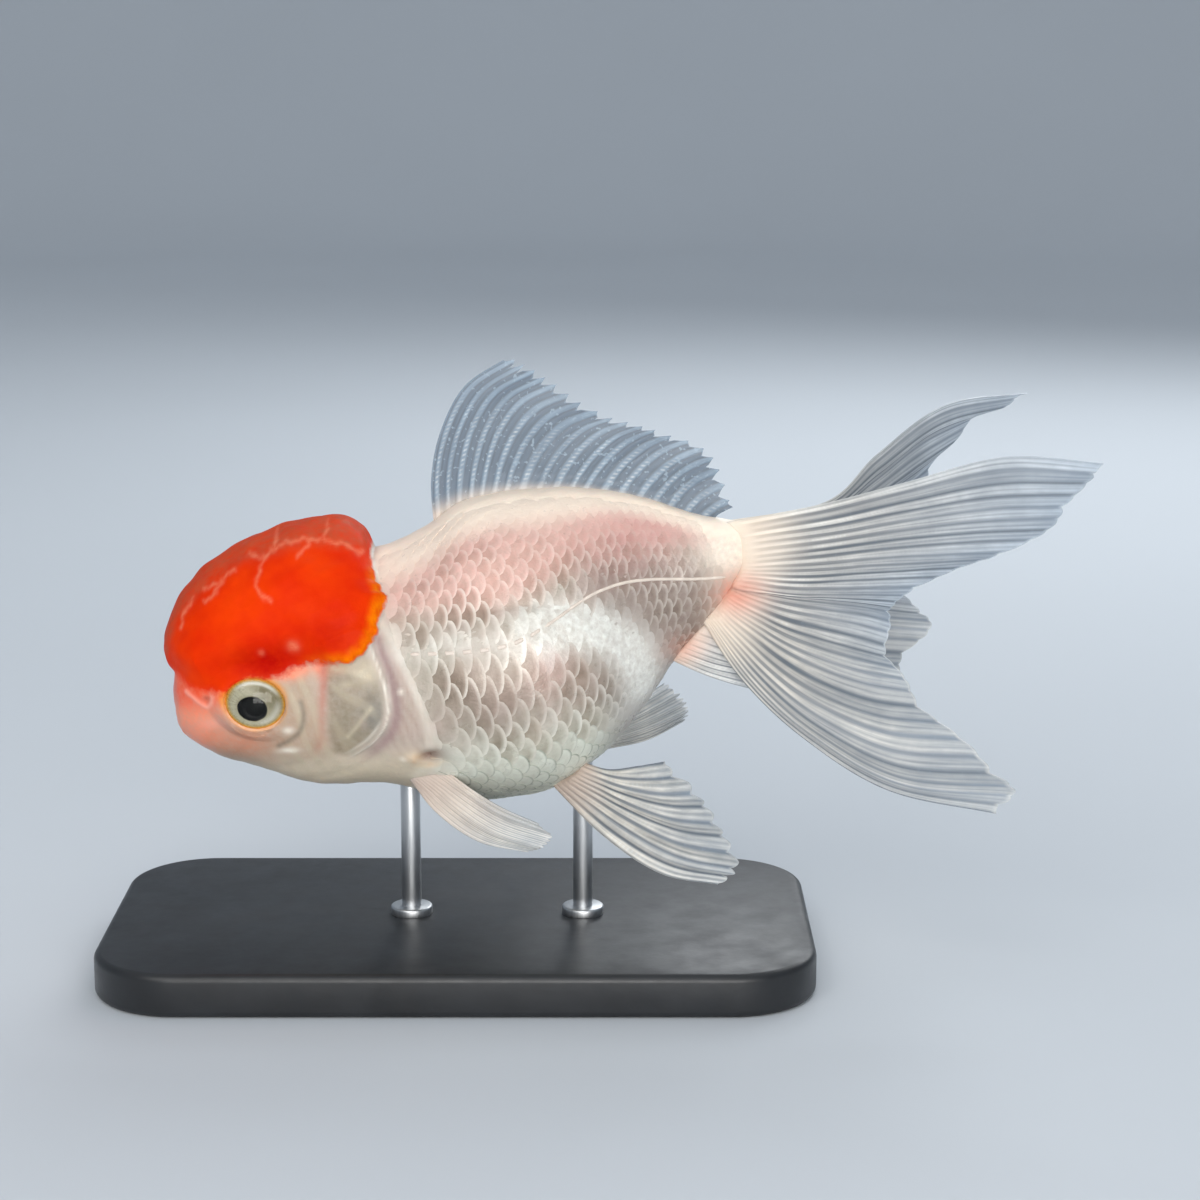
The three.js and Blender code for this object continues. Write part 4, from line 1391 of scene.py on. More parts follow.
@dataclass
class IrisFinish(Finish):
    """A goldfish's iris and pupil: silver-olive foil with fine spokes round a black hole."""

    def build(self) -> bpy.types.Material:
        """Builds the iris from rings measured out from the pupil.

        Returns:
            The material.
        """
        tree, shader, place = self.start()
        ring = add_node(tree, "ShaderNodeAttribute", attribute_name="ring").outputs["Fac"]
        spokes = add_node(tree, "ShaderNodeAttribute", attribute_name="spokes").outputs["Fac"]
        ramp = add_node(tree, "ShaderNodeValToRGB", {"Fac": ring})
        stops = ((0.0, "#010101"), (0.45, "#010101"), (0.465, "#6E6A57"), (0.5, "#807C68"),
                 (0.62, "#8E8C79"), (0.76, "#8A8875"), (0.86, "#847C5E"), (0.93, "#A27A2C"),
                 (1.0, "#C8741A"))
        while len(ramp.color_ramp.elements) < len(stops):
            ramp.color_ramp.elements.new(0.5)
        for element, (at, colour) in zip(ramp.color_ramp.elements, stops):
            element.position = at
            element.color = linear(colour)
        shade = add_node(tree, "ShaderNodeMath", {0: spokes, 1: grain(tree, place, 0.5, 3.0, 0.0, 0.45)},
                         operation="MULTIPLY").outputs[0]
        colour = self.mix(tree, shade, ramp.outputs["Color"], linear("#5E5B49"), "MULTIPLY")
        for name, tone in (("olive", "#544E39"), ("glint", "#B9BBB6"), ("flame", "#F59A12")):
            share = add_node(tree, "ShaderNodeAttribute", attribute_name=name).outputs["Fac"]
            colour = self.mix(tree, share, colour, linear(tone))
        tree.links.new(colour, shader.inputs["Base Color"])
        shader.inputs["Specular IOR Level"].default_value = 0.05
        return self.material


@dataclass
class CorneaFinish(Finish):
    """The clear, wet front of the eye."""

    def build(self) -> bpy.types.Material:
        """Builds clear tissue, a little less even than glass.

        Returns:
            The material.
        """
        tree, shader, place = self.start()
        wet = grain(tree, place, 1.5, 2.0, 0.01, 0.05)
        tree.links.new(wet, shader.inputs["Roughness"])
        shader.inputs["Base Color"].default_value = (1.0, 1.0, 1.0, 1.0)
        shader.inputs["Transmission Weight"].default_value = 1.0
        shader.inputs["IOR"].default_value = 1.2
        return self.material


@dataclass
class LacquerFinish(Finish):
    """Satin black lacquer on a turned wooden base: nearly even, with faint orange peel and dust."""

    def build(self) -> bpy.types.Material:
        """Builds the lacquer with faint wear on its colour and gloss.

        Returns:
            The material.
        """
        tree, shader, place = self.start()
        dust = grain(tree, place, 14.0, 5.0, 0.0, 1.0)
        colour = self.mix(tree, dust, linear("#17181A"), linear("#26282B"))
        gloss = grain(tree, place, 6.0, 4.0, self.roughness - 0.06, self.roughness + 0.08)
        relief = add_node(tree, "ShaderNodeBump", {
            "Height": grain(tree, place, 1.2, 2.0, 0.0, 1.0), "Strength": 0.12, "Distance": 0.05 * MM,
        })
        tree.links.new(colour, shader.inputs["Base Color"])
        tree.links.new(gloss, shader.inputs["Roughness"])
        tree.links.new(relief.outputs["Normal"], shader.inputs["Normal"])
        return self.material


@dataclass
class SteelFinish(Finish):
    """Drawn stainless steel rod: long fine scratches along its length."""

    def build(self) -> bpy.types.Material:
        """Builds the steel, with grain stretched along the rod.

        Returns:
            The material.
        """
        tree, shader, place = self.start()
        drawn = add_node(tree, "ShaderNodeMapping", {"Vector": place, "Scale": (1.0, 1.0, 0.06)})
        lines = grain(tree, drawn.outputs["Vector"], 0.35, 4.0, 0.0, 1.0)
        colour = self.mix(tree, lines, linear("#BDBFC1"), linear("#CCCED0"))
        gloss = add_node(tree, "ShaderNodeMapRange", {
            "Value": lines, "To Min": self.roughness - 0.03, "To Max": self.roughness + 0.04,
        }).outputs["Result"]
        tree.links.new(colour, shader.inputs["Base Color"])
        tree.links.new(gloss, shader.inputs["Roughness"])
        return self.material


@dataclass
class StageFinish(Finish):
    """Matt studio paper."""

    colour: str = "#CCD1D6"

    def build(self) -> bpy.types.Material:
        """Builds the paper with a barely uneven tone.

        Returns:
            The material.
        """
        tree, shader, place = self.start()
        tone = grain(tree, place, 300.0, 2.0, 0.0, 1.0)
        pale = tuple(c * 1.03 for c in linear(self.colour)[:3])
        colour = self.mix(tree, tone, linear(self.colour), (*pale, 1.0))
        tree.links.new(colour, shader.inputs["Base Color"])
        return self.material


# ---------------------------------------------------------------- pieces


def piece(
    name: str, bm: bmesh.types.BMesh, material: bpy.types.Material, smooth: bool = True
) -> bpy.types.Object:
    """Makes a finished object from a bmesh whose places are in the row frame.

    Args:
        name: The object's name.
        bm: Its shape, which is freed.
        material: Its material.
        smooth: Whether its faces shade smoothly.

    Returns:
        The new object, linked to the scene.
    """
    mesh = bpy.data.meshes.new(name)
    bm.to_mesh(mesh)
    bm.free()
    return dress(name, mesh, material, smooth)


def dress(
    name: str, mesh: bpy.types.Mesh, material: bpy.types.Material, smooth: bool = True
) -> bpy.types.Object:
    """Makes an object of a finished mesh.

    Args:
        name: The object's name.
        mesh: Its mesh.
        material: Its material.
        smooth: Whether its faces shade smoothly.

    Returns:
        The new object, linked to the scene.
    """
    mesh.materials.append(material)
    mesh.polygons.foreach_set("use_smooth", [smooth] * len(mesh.polygons))
    made = bpy.data.objects.new(name, mesh)
    bpy.context.scene.collection.objects.link(made)
    log.info("%s: %d faces", name, len(mesh.polygons))
    return made


def place_on_body(made: bpy.types.Object, nodes: Iterable) -> bpy.types.Object:
    """Ties a piece to the model's one body.

    Args:
        made: The finished object.
        nodes: Names of the CAD nodes that it stands for.

    Returns:
        The same object.
    """
    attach(made, BODY)
    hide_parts(*nodes)
    return made


def set_attributes(mesh: bpy.types.Mesh, strengths: dict) -> None:
    """Writes one number for each vertex, for each named strength.

    Args:
        mesh: The mesh.
        strengths: Numbers for its vertices, by attribute name.
    """
    for name, values in strengths.items():
        layer = mesh.attributes.new(name, "FLOAT", "POINT")
        layer.data.foreach_set("value", np.ascontiguousarray(values, np.float32))


def vertex_places(mesh: bpy.types.Mesh) -> Field:
    """Reads the mesh's vertices.

    Args:
        mesh: The mesh.

    Returns:
        Their places, as rows of x, y and z.
    """
    flat = np.empty(len(mesh.vertices) * 3, np.float32)
    mesh.vertices.foreach_get("co", flat)
    return flat.reshape(-1, 3).astype(float)


def set_places(mesh: bpy.types.Mesh, points: Field) -> None:
    """Moves the mesh's vertices to the points."""
    mesh.vertices.foreach_set("co", np.ascontiguousarray(points, np.float32).ravel())
    mesh.update()


def turned_in(mesh: bpy.types.Mesh) -> bool:
    """Tells which way a closed mesh faces.

    Args:
        mesh: The mesh.

    Returns:
        Whether its faces point inwards.
    """
    bm = bmesh.new()
    bm.from_mesh(mesh)
    volume = bm.calc_volume(signed=True)
    bm.free()
    return volume < 0.0


@dataclass
class Skin:
    """The fish's one skin, from lips to tail root."""

    flesh: FleshForm
    pattern: Pattern
    fish: FishFrame
    around: int = 370
    rings: int = 264
    head_spacing: float = 0.2
    body_spacing: float = 0.7
    nodes: tuple = ("head", "wen", "gill_cover_left", "gill_cover_right", "trunk", "tail_stalk")

    def ring_places(self) -> Field:
        """Spaces the rings, which lie closer on the head than on the body.

        Returns:
            Each ring's u.
        """
        u = np.linspace(0.0, 1.0, 4000)
        sides = [self.flesh.bare(u, np.full_like(u, angle)) for angle in (0.0, math.pi / 2, math.pi)]
        steps = np.mean([np.linalg.norm(np.diff(side, axis=0), axis=1) for side in sides], axis=0)
        x = sides[1][1:, 0]
        spacing = lerp(self.head_spacing, self.body_spacing, smoothstep(-18.0, 0.0, x))
        walked = np.concatenate([[0.0], np.cumsum(steps / spacing)])
        return np.interp(np.linspace(0.0, walked[-1], self.rings + 1), walked, u)

    def build(self, finish: FishSkin) -> bpy.types.Object:
        """Builds the skin from a ball whose rings are laid along the body.

        Args:
            finish: The skin's finish.

        Returns:
            The finished object.
        """
        bm = bmesh.new()
        bmesh.ops.create_uvsphere(bm, u_segments=self.around, v_segments=self.rings, radius=1.0)
        mesh = bpy.data.meshes.new("skin")
        bm.to_mesh(mesh)
        bm.free()
        ball = vertex_places(mesh)
        ring = np.rint(np.arccos(np.clip(ball[:, 2], -1.0, 1.0)) / math.pi * self.rings).astype(int)
        u = self.ring_places()[ring]
        angle = np.arctan2(ball[:, 1], ball[:, 0])
        bare = self.flesh.bare(u, angle)
        points = self.flesh.skin(u, angle)
        for pole, end in ((0, SECTIONS[0]), (self.rings, SECTIONS[-1])):
            points[ring == pole] = (end[0], 0.0, end[1])
        set_attributes(mesh, self.pattern.measure(bare, points))
        points = self.flesh.set_eye_openings(points)
        set_places(mesh, self.fish.to_row(points))
        mesh.flip_normals()
        made = dress("skin", mesh, finish.build())
        return place_on_body(made, self.nodes)


@dataclass(frozen=True)
class ScaleZone:
    """How the scales are spaced on one side of the side line.

    Attributes:
        way: 1 under the side line and -1 over it.
        along: Spacing along the fish in millimetres, on the shoulder and on the stalk.
        apart: Spacing of the rows at the side line in millimetres, on the shoulder and on the stalk.
        narrowing: How much closer each further row lies, as a share of the first spacing.
    """

    way: int
    along: tuple
    apart: tuple
    narrowing: float = 0.028


@dataclass
class Scales:
    """The scales of one side, in staggered rows that follow the side line."""

    flesh: FleshForm
    pattern: Pattern
    fish: FishFrame
    side: Side
    zones: tuple = (ScaleZone(-1, (2.2, 1.7), (3.0, 2.2)), ScaleZone(1, (2.7, 1.8), (4.1, 2.6)))
    across_faces: int = 10
    along_faces: int = 3
    rise: float = 0.08
    depth: float = 0.7
    overlap: float = 0.92
    bulge: float = 0.72
    length: float = 2.0
    patch: float = 0.003

    def template(self) -> bmesh.types.BMesh:
        """Makes one scale as a flat closed plate: x across it and y along it, both from -1 to 1.

        Returns:
            The plate.
        """
        bm = bmesh.new()
        bmesh.ops.create_grid(bm, x_segments=self.across_faces, y_segments=self.along_faces, size=1.0)
        rim = [edge for edge in bm.edges if edge.is_boundary]
        skirt = bmesh.ops.extrude_edge_only(bm, edges=rim)["geom"]
        low = [item for item in skirt if isinstance(item, bmesh.types.BMVert)]
        bmesh.ops.translate(bm, verts=low, vec=(0.0, 0.0, -1.0))
        bmesh.ops.contextual_create(bm, geom=[item for item in skirt if isinstance(item, bmesh.types.BMEdge)])
        bmesh.ops.recalc_face_normals(bm, faces=bm.faces)
        return bm

    def lattice(self) -> Field:
        """Works out where the scales sit.

        Returns:
            A row for each scale: u, angle, half its height and the spacing along its row.
        """
        flesh = self.flesh
        fine = np.linspace(0.3, 1.0, 1400)
        spine = flesh.bare(fine, np.full_like(fine, math.pi / 2))
        walked = np.concatenate([[0.0], np.cumsum(np.linalg.norm(np.diff(spine, axis=0), axis=1))])
        angles = np.linspace(0.0, math.pi, 500)
        found = []
        for zone in self.zones:
            reach, column = 0.0, 0
            while reach < walked[-1]:
                u = float(np.interp(reach, walked, fine))
                ring = flesh.bed(np.full_like(angles, u), angles)
                slim = smoothstep(12.0, 36.0, float(np.interp(math.pi / 2, angles, ring[:, 0])))
                along, apart = lerp(*zone.along, slim), lerp(*zone.apart, slim)
                girth = np.concatenate([[0.0], np.cumsum(np.linalg.norm(np.diff(ring, axis=0), axis=1))])
                line = girth[int(np.argmin(np.abs(ring[:, 2] - flesh.lateral_line.height_at(ring[:, 0]))))]
                for row in range(0 if zone.way > 0 else 1, 17):
                    at = line + zone.way * apart * row * (1.0 - zone.narrowing * row)
                    if (row + column) % 2 or not 0.5 < at < girth[-1] - 0.5:
                        continue
                    x, _, z = ring[int(np.argmin(np.abs(girth - at)))]
                    if flesh.scaled(np.array(x + 0.1 * along), np.array(z)) > 0.85:
                        half = self.overlap * apart * (1.0 - 2.0 * zone.narrowing * row)
                        found.append((u, float(np.interp(at, girth, angles)), half, along))
                reach += along / 2.0
                column += 1
        return np.array(found)

    def contrast(self, points: Field) -> Field:
        """Measures how clearly the scales stand out: best on the shoulder, least on the back and under the
        painted belly highlight.

        Args:
            points: Points in the fish's frame.

        Returns:
            Their contrast, from 0 to 1.
        """
        x, _, z = np.moveaxis(points, -1, 0)
        over = z - self.flesh.lateral_line.height_at(x)
        faint = smoothstep(3.0, 11.0, over)
        under = smoothstep(-13.0, -19.0, z)
        under_painted_highlight = self.pattern.strength("pearl", points)
        far = smoothstep(10.0, 26.0, x)
        clear = np.clip(1.0 - 0.45 * faint - 0.8 * under - 0.6 * under_painted_highlight - 0.4 * far, 0.1, 1.0)
        ridge = smoothstep(2.0, 7.0, self.flesh.bare_top(x) - z)
        behind = smoothstep(0.0, 2.5, self.flesh.coat_front.near(x, z)[0])
        return clear * ridge * behind * smoothstep(42.0, 36.0, x + 0.25 * z)

    def copies(self, plate: bpy.types.Mesh, count: int) -> bpy.types.Mesh:
        """Joins many copies of one plate in a new mesh.

        Args:
            plate: The plate's mesh.
            count: How many copies there are.

        Returns:
            The joined mesh, whose vertices still lie at the origin.
        """
        sizes = np.empty(len(plate.polygons), np.int32)
        plate.polygons.foreach_get("loop_total", sizes)
        corners = np.empty(len(plate.loops), np.int32)
        plate.loops.foreach_get("vertex_index", corners)
        shift = np.arange(count)[:, None] * len(plate.vertices)
        starts = np.concatenate([[0], np.cumsum(np.tile(sizes, count))[:-1]])
        mesh = bpy.data.meshes.new(f"scales_{self.side.word}")
        mesh.vertices.add(count * len(plate.vertices))
        mesh.loops.add(count * len(corners))
        mesh.polygons.add(count * len(sizes))
        mesh.loops.foreach_set("vertex_index", (corners[None, :] + shift).ravel().astype(np.int32))
        mesh.polygons.foreach_set("loop_start", starts.astype(np.int32))
        mesh.update(calc_edges=True)
        return mesh

    def build(self, finish: ScaleFinish) -> bpy.types.Object:
        """Lays a copy of the plate at every place and joins them.

        Args:
            finish: The scales' finish.

        Returns:
            The finished object.
        """
        plate = bpy.data.meshes.new("plate")
        bm = self.template()
        bm.to_mesh(plate)
        bm.free()
        local = vertex_places(plate)
        lattice = self.lattice()
        mesh = self.copies(plate, len(lattice))
        bpy.data.meshes.remove(plate)

        shape = (len(lattice), len(local))
        u, angle, half, spacing = (np.broadcast_to(lattice[:, k:k + 1], shape) for k in range(4))
        across, along, low = (np.broadcast_to(local[None, :, k], shape) for k in range(3))
        back = (0.5 * (along + 1.0)) ** 0.75
        drawn_in = self.bulge * spacing * (1.0 - np.sqrt(np.maximum(1.0 - across**2, 0.0)))
        length = self.length * spacing - drawn_in
        reach = -drawn_in - (1.0 - back) * length + 0.5 * spacing
        aside = across * half * lerp(0.72, 1.0, smoothstep(0.0, 0.6, back))
        here = self.flesh.bare(lattice[:, 0], lattice[:, 1])
        step = 0.001
        per_u = np.linalg.norm(self.flesh.bare(lattice[:, 0] + step, lattice[:, 1]) - here, axis=1) / step
        per_angle = np.linalg.norm(self.flesh.bare(lattice[:, 0], lattice[:, 1] + step) - here, axis=1) / step
        place_u = np.clip(u + reach / per_u[:, None], 0.0, 0.999)
        place_angle = (angle + aside / per_angle[:, None]) * self.side.value
        flat = lerp(0.6, 1.0, smoothstep(1.0, 6.0, self.flesh.bare_top(here[:, 0]) - here[:, 2]))[:, None]
        lift = flat * self.rise * (2.0 * back - 1.0) - 0.3 * smoothstep(0.25, 0.0, back)
        lift = lift + 0.05 * flat * (1.0 - across**2) - 0.05 * smoothstep(0.9, 1.0, np.abs(across))
        lift = lift + self.depth * np.minimum(low, 0.0)
        set_places(mesh, self.fish.to_row(self.flesh.bed(place_u, place_angle, lift).reshape(-1, 3)))
        if self.side is Side.RIGHT:
            mesh.flip_normals()

        bare = self.flesh.bare(place_u, place_angle)
        middle = np.repeat(bare.mean(axis=1), len(local), axis=0)
        strengths = self.pattern.measure(lerp(bare.reshape(-1, 3), middle, 0.3))
        edge = (1.0 - back) * length * (0.45 + 0.55 * np.sqrt(np.maximum(1.0 - across**2, 0.0)))
        strengths.update({name: np.zeros(len(middle)) for name in strengths if name.startswith("cap_")})
        strengths["edge"] = edge.ravel()
        random = np.random.default_rng(7).random(len(lattice))
        strengths["tone"] = np.repeat(random, len(local))
        strengths["contrast"] = self.contrast(middle)
        strengths["seam"] = smoothstep(-14.5, -18.0, middle[:, 2]) * smoothstep(22.0, 12.0, middle[:, 0])
        set_attributes(mesh, strengths)
        self.unwrap(mesh, lattice, across, along)
        made = dress(mesh.name, mesh, finish.material or finish.build())
        mesh.set_sharp_from_angle(angle=math.radians(50.0))
        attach(made, BODY)
        return made

    def unwrap(self, mesh: bpy.types.Mesh, lattice: Field, across: Field, along: Field) -> None:
        """Lays each scale as a small patch at its root's place on the skin's own unwrap.

        Args:
            mesh: The joined scales.
            lattice: Their places, as lattice gives them.
            across: Each vertex's place across its scale.
            along: Each vertex's place along its scale.
        """
        root_u = lattice[:, 0:1]
        root_v = lattice[:, 1:2] / math.pi
        spread = self.patch / 2.0
        flat = np.stack(
            [0.02 + 0.96 * root_u + spread * along, 0.02 + 0.96 * root_v + spread * across], axis=-1
        )
        corners = np.empty(len(mesh.loops), np.int32)
        mesh.loops.foreach_get("vertex_index", corners)
        layer = mesh.uv_layers.new(name="OFBake")
        layer.data.foreach_set("uv", flat.reshape(-1, 2)[corners].astype(np.float32).ravel())


@dataclass
class SideLine:
    """The pored side line: a thin pale tube over the scales, in short dashes on the shoulder."""

    flesh: FleshForm
    fish: FishFrame
    side: Side
    turns: int = 8
    rings: int = 420
    radius: float = 0.34
    dash: float = 2.7
    lift: float = 0.06
    front: float = -8.5
    rear: float = 42.0

    def path(self, reach: Field) -> Field:
        """Finds where the line runs.

        Args:
            reach: Places from 0 at the shoulder to 1 at the tail.

        Returns:
            Its u and angle at each place.
        """
        angles = np.linspace(0.6, math.pi - 0.6, 300)
        places = []
        for u in np.linspace(0.4, 0.97, 160):
            ring = self.flesh.bed(np.full_like(angles, u), angles)
            off = self.flesh.lateral_line.height_at(ring[:, 0]) - ring[:, 2]
            places.append((u, float(np.interp(0.0, off, angles)), float(np.interp(0.0, off, ring[:, 0]))))
        u, angle, x = np.array(places).T
        at = lerp(self.front, self.rear, reach)
        return np.stack([np.interp(at, x, u), np.interp(at, x, angle)], axis=-1)

    def build(self, finish: Finish) -> bpy.types.Object:
        """Lays a closed tube along the line.

        Args:
            finish: Its finish.

        Returns:
            The finished object.
        """
        bm = bmesh.new()
        bmesh.ops.create_uvsphere(bm, u_segments=self.turns, v_segments=self.rings, radius=1.0)
        mesh = bpy.data.meshes.new(f"side_line_{self.side.word}")
        bm.to_mesh(mesh)
        bm.free()
        ball = vertex_places(mesh)
        reach = np.arccos(np.clip(ball[:, 2], -1.0, 1.0)) / math.pi
        turn = np.arctan2(ball[:, 1], ball[:, 0])
        x = lerp(self.front, self.rear, reach)
        whole = smoothstep(8.0, 16.0, x)
        dashes = lerp(smoothstep(-0.7, 0.2, np.sin(2.0 * math.pi * x / self.dash)), 1.0, whole)
        thick = self.radius * lerp(0.3, 1.0, dashes) * lerp(1.0, 0.8, whole)
        thick = thick * np.minimum(1.0, 60.0 * np.minimum(reach, 1.0 - reach))
        u, angle = self.path(reach).T
        turned = self.flesh.bare(u, angle + 0.01) - self.flesh.bare(u, angle)
        per_angle = np.linalg.norm(turned, axis=1) / 0.01
        sunk = self.lift - 0.4 * (1.0 - dashes)
        place = angle + thick * np.cos(turn) / per_angle
        points = self.flesh.bed(u, place * self.side.value, sunk + 0.55 * thick * np.sin(turn))
        set_places(mesh, self.fish.to_row(points))
        if turned_in(mesh):
            mesh.flip_normals()
        made = dress(mesh.name, mesh, finish.material or finish.build())
        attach(made, BODY)
        return made


@dataclass
class Fin:
    """One fin: a thin sheet through given key rays, with bony rays, folds and a torn edge.

    Attributes:
        name: The piece's name.
        nodes: The CAD nodes that it stands for.
        keys: Key rays from the fin's front edge to its rear one, each from root to tip, in fish mm.
        rays: How many bony rays it has.
        rows: Faces from root to tip.
        notch: How far the edge is cut in between rays, in millimetres.
        pleat: Height of the folds, in millimetres.
        pleats: How many folds it has.
        branch: Where along them the rays branch, from 0 to 1.
        tear: How far the edge is cut in between groups of rays, in millimetres.
        group: How many rays make a group.
        root_swell: How far the flesh of the root thickens each side, in millimetres.
        root_reach: How far the flesh reaches along the rays, from 0 to 1.
        plain: How far along the rays the fin stays plain and cream, from 0 to 1.
        width: How much of the spacing between rays a ray fills, from 0 to 1.
        spikes: How pointed the ray tips are: 0.6 makes thorns and 2 makes round lobes.
        corner: How far the front corner is rounded off, in millimetres.
        clear: How dark and see-through the film between the rays is, from 0 to 1.
        groove: How dark the painted shade beside the rays is, from 0 to 1.
        valley: How dark the painted shade in the folds is, from 0 to 1.
        uneven: How much the rays differ in brightness, from 0 to 1.
        warm: Where across the fin its rays turn cream, from 0 to 1, or past 1 for nowhere.
        dull: How far the root's colour turns from cream to pink-grey, from 0 to 1.
        steps: Faces from one ray to the next.
        thickness: The sheet's thickness in millimetres.
        ridge: How far the rays stand out of the sheet, in millimetres.
    """

    name: str
    nodes: tuple
    keys: Field
    rays: int
    rows: int = 60
    notch: float = 1.2
    pleat: float = 0.5
    pleats: float = 5.0
    branch: float = 0.5
    tear: float = 0.0
    group: float = 4.0
    root_swell: float = 0.5
    root_reach: float = 0.25
    plain: float = 0.3
    width: float = 0.5
    spikes: float = 1.6
    corner: float = 0.6
    clear: float = 0.2
    groove: float = 0.3
    valley: float = 0.6
    uneven: float = 0.35
    warm: float = 2.0
    dull: float = 0.0
    steps: int = 8
    thickness: float = 0.34
    ridge: float = 0.13

    def at(self, s: Field, t: Field) -> Field:
        """Finds the middle of the sheet.

        Args:
            s: Places along the rays, from 0 to 1.
            t: Places across them, from 0 to 1.

        Returns:
            Its points.
        """
        along = np.stack([curve_at(key, s) for key in self.keys])
        padded, i, f = spline_parts(along, t, None, None)
        index = np.arange(len(t))
        return spline(*(padded[i + k, index] for k in range(4)), f)

    def build(self, fish: FishFrame, pattern: Pattern, finish: FinFinish) -> bpy.types.Object:
        """Builds the fin as a closed thin solid.

        Args:
            fish: The fish's frame.
            pattern: The markings of the skin, which run out over the fin's root.
            finish: The fin's finish.

        Returns:
            The finished object.
        """
        columns = self.rays * self.steps
        bm = bmesh.new()
        bmesh.ops.create_grid(bm, x_segments=columns, y_segments=self.rows, size=0.5)
        near = list(bm.verts)
        copied = bmesh.ops.duplicate(bm, geom=bm.verts[:] + bm.edges[:] + bm.faces[:])
        far = [item for item in copied["geom"] if isinstance(item, bmesh.types.BMVert)]
        bmesh.ops.translate(bm, verts=near, vec=(0.0, 0.0, 0.5))
        bmesh.ops.translate(bm, verts=far, vec=(0.0, 0.0, -0.5))
        bmesh.ops.bridge_loops(bm, edges=[edge for edge in bm.edges if edge.is_boundary])
        bmesh.ops.recalc_face_normals(bm, faces=bm.faces)
        mesh = bpy.data.meshes.new(self.name)
        bm.to_mesh(mesh)
        bm.free()

        flat = vertex_places(mesh)
        t, s, face = flat[:, 0] + 0.5, flat[:, 1] + 0.5, np.sign(flat[:, 2])
        drift = 0.12 * np.sin(1.1 * self.rays * t + 1.0) + 0.06 * np.sin(2.7 * self.rays * t + 2.0)
        count = t * self.rays + drift * np.sin(math.pi * t)
        off_ray = np.abs(count % 1.0 - 0.5) * 2.0
        off_branch = np.abs((2.0 * count) % 1.0 - 0.5) * 2.0
        number = np.floor(count)
        fork = 0.5 * smoothstep(self.branch - 0.15, self.branch + 0.15, s)
        bone = smoothstep(self.width + 0.22, self.width - 0.22, off_ray)
        ray = lerp(bone, smoothstep(0.9, 0.3, off_branch), fork)
        chance = np.abs(np.sin(number * 12.9898) * 43758.5453) % 1.0
        bright = 1.0 - self.uneven * chance
        length = np.linalg.norm(self.at(np.ones_like(t), t) - self.at(np.zeros_like(t), t), axis=1)
        groups = np.abs((count / self.group) % 1.0 - 0.5) * 2.0
        rough = 0.7 + 0.6 * chance
        torn = self.notch * rough * off_ray**self.spikes + self.tear * groups**2
        inset = torn * smoothstep(0.0, 0.03, t) * smoothstep(1.0, 0.97, t)
        inset = inset + self.corner * smoothstep(0.05, 0.0, t) ** 2
        reach = s * (1.0 - inset / np.maximum(length, 1.0))
        middle = self.at(reach, t)
        step = 0.004
        along = self.at(np.minimum(reach + step, 1.0), t) - self.at(np.maximum(reach - step, 0.0), t)
        across = self.at(reach, np.minimum(t + step, 1.0)) - self.at(reach, np.maximum(t - step, 0.0))
        out = unit(np.cross(along, across))
        swing = np.sin(2.0 * math.pi * self.pleats * t + 1.4 * np.sin(5.0 * t + 0.6))
        fold = self.pleat * swing * smoothstep(0.12, 0.75, s)
        ripple = 0.05 * (1.0 - off_ray) * smoothstep(0.1, 0.5, s)
        # Painted shade: beside each ray's ridge and down in the folds.
        fold_shade = np.maximum(self.groove * bump(off_ray - self.width - 0.2, 0.12),
                          self.valley * smoothstep(0.5, -0.8, swing + 0.5 * chance - 0.25))
        wall = 0.5 * self.thickness * lerp(1.0, 0.55, s) + self.ridge * ray * lerp(1.0, 0.4, s)
        wall = wall * lerp(0.3, 1.0, smoothstep(0.0, 0.06, s))
        swell = smoothstep(self.root_reach, 0.03, s) * smoothstep(-0.01, 0.06, s)
        wall = wall + self.root_swell * swell * np.abs(np.sin(math.pi * t)) ** 0.5
        points = middle + out * (fold + ripple + face * wall)[:, None]
        set_places(mesh, fish.to_row(points))
        if turned_in(mesh):
            mesh.flip_normals()
        edge = np.maximum(smoothstep(0.016, 0.0, t), smoothstep(0.985, 1.0, s))
        core = smoothstep(self.width, 0.0, off_ray)
        set_attributes(mesh, {
            "ray": np.clip(np.maximum(ray * bright, 0.7 * edge), 0.0, 1.0),
            "reach": s,
            "fold": fold_shade * smoothstep(0.1, 0.35, s) * (1.0 - 0.85 * ray),
            "segment": core * smoothstep(0.1, 0.2, s) * smoothstep(0.8, 0.55, s),
            "root": smoothstep(self.plain, 0.02, s),
            "clear": np.full_like(s, self.clear),
            "warm": smoothstep(self.warm - 0.15, self.warm + 0.15, t),
            "count": count,
            "along": reach * length,
            "flush": pattern.strength("tail_salmon", points),
            "dull": np.full_like(s, self.dull),
        })
        made = dress(self.name, mesh, finish.material or finish.build())
        mesh.set_sharp_from_angle(angle=math.radians(60.0))
        return place_on_body(made, self.nodes)


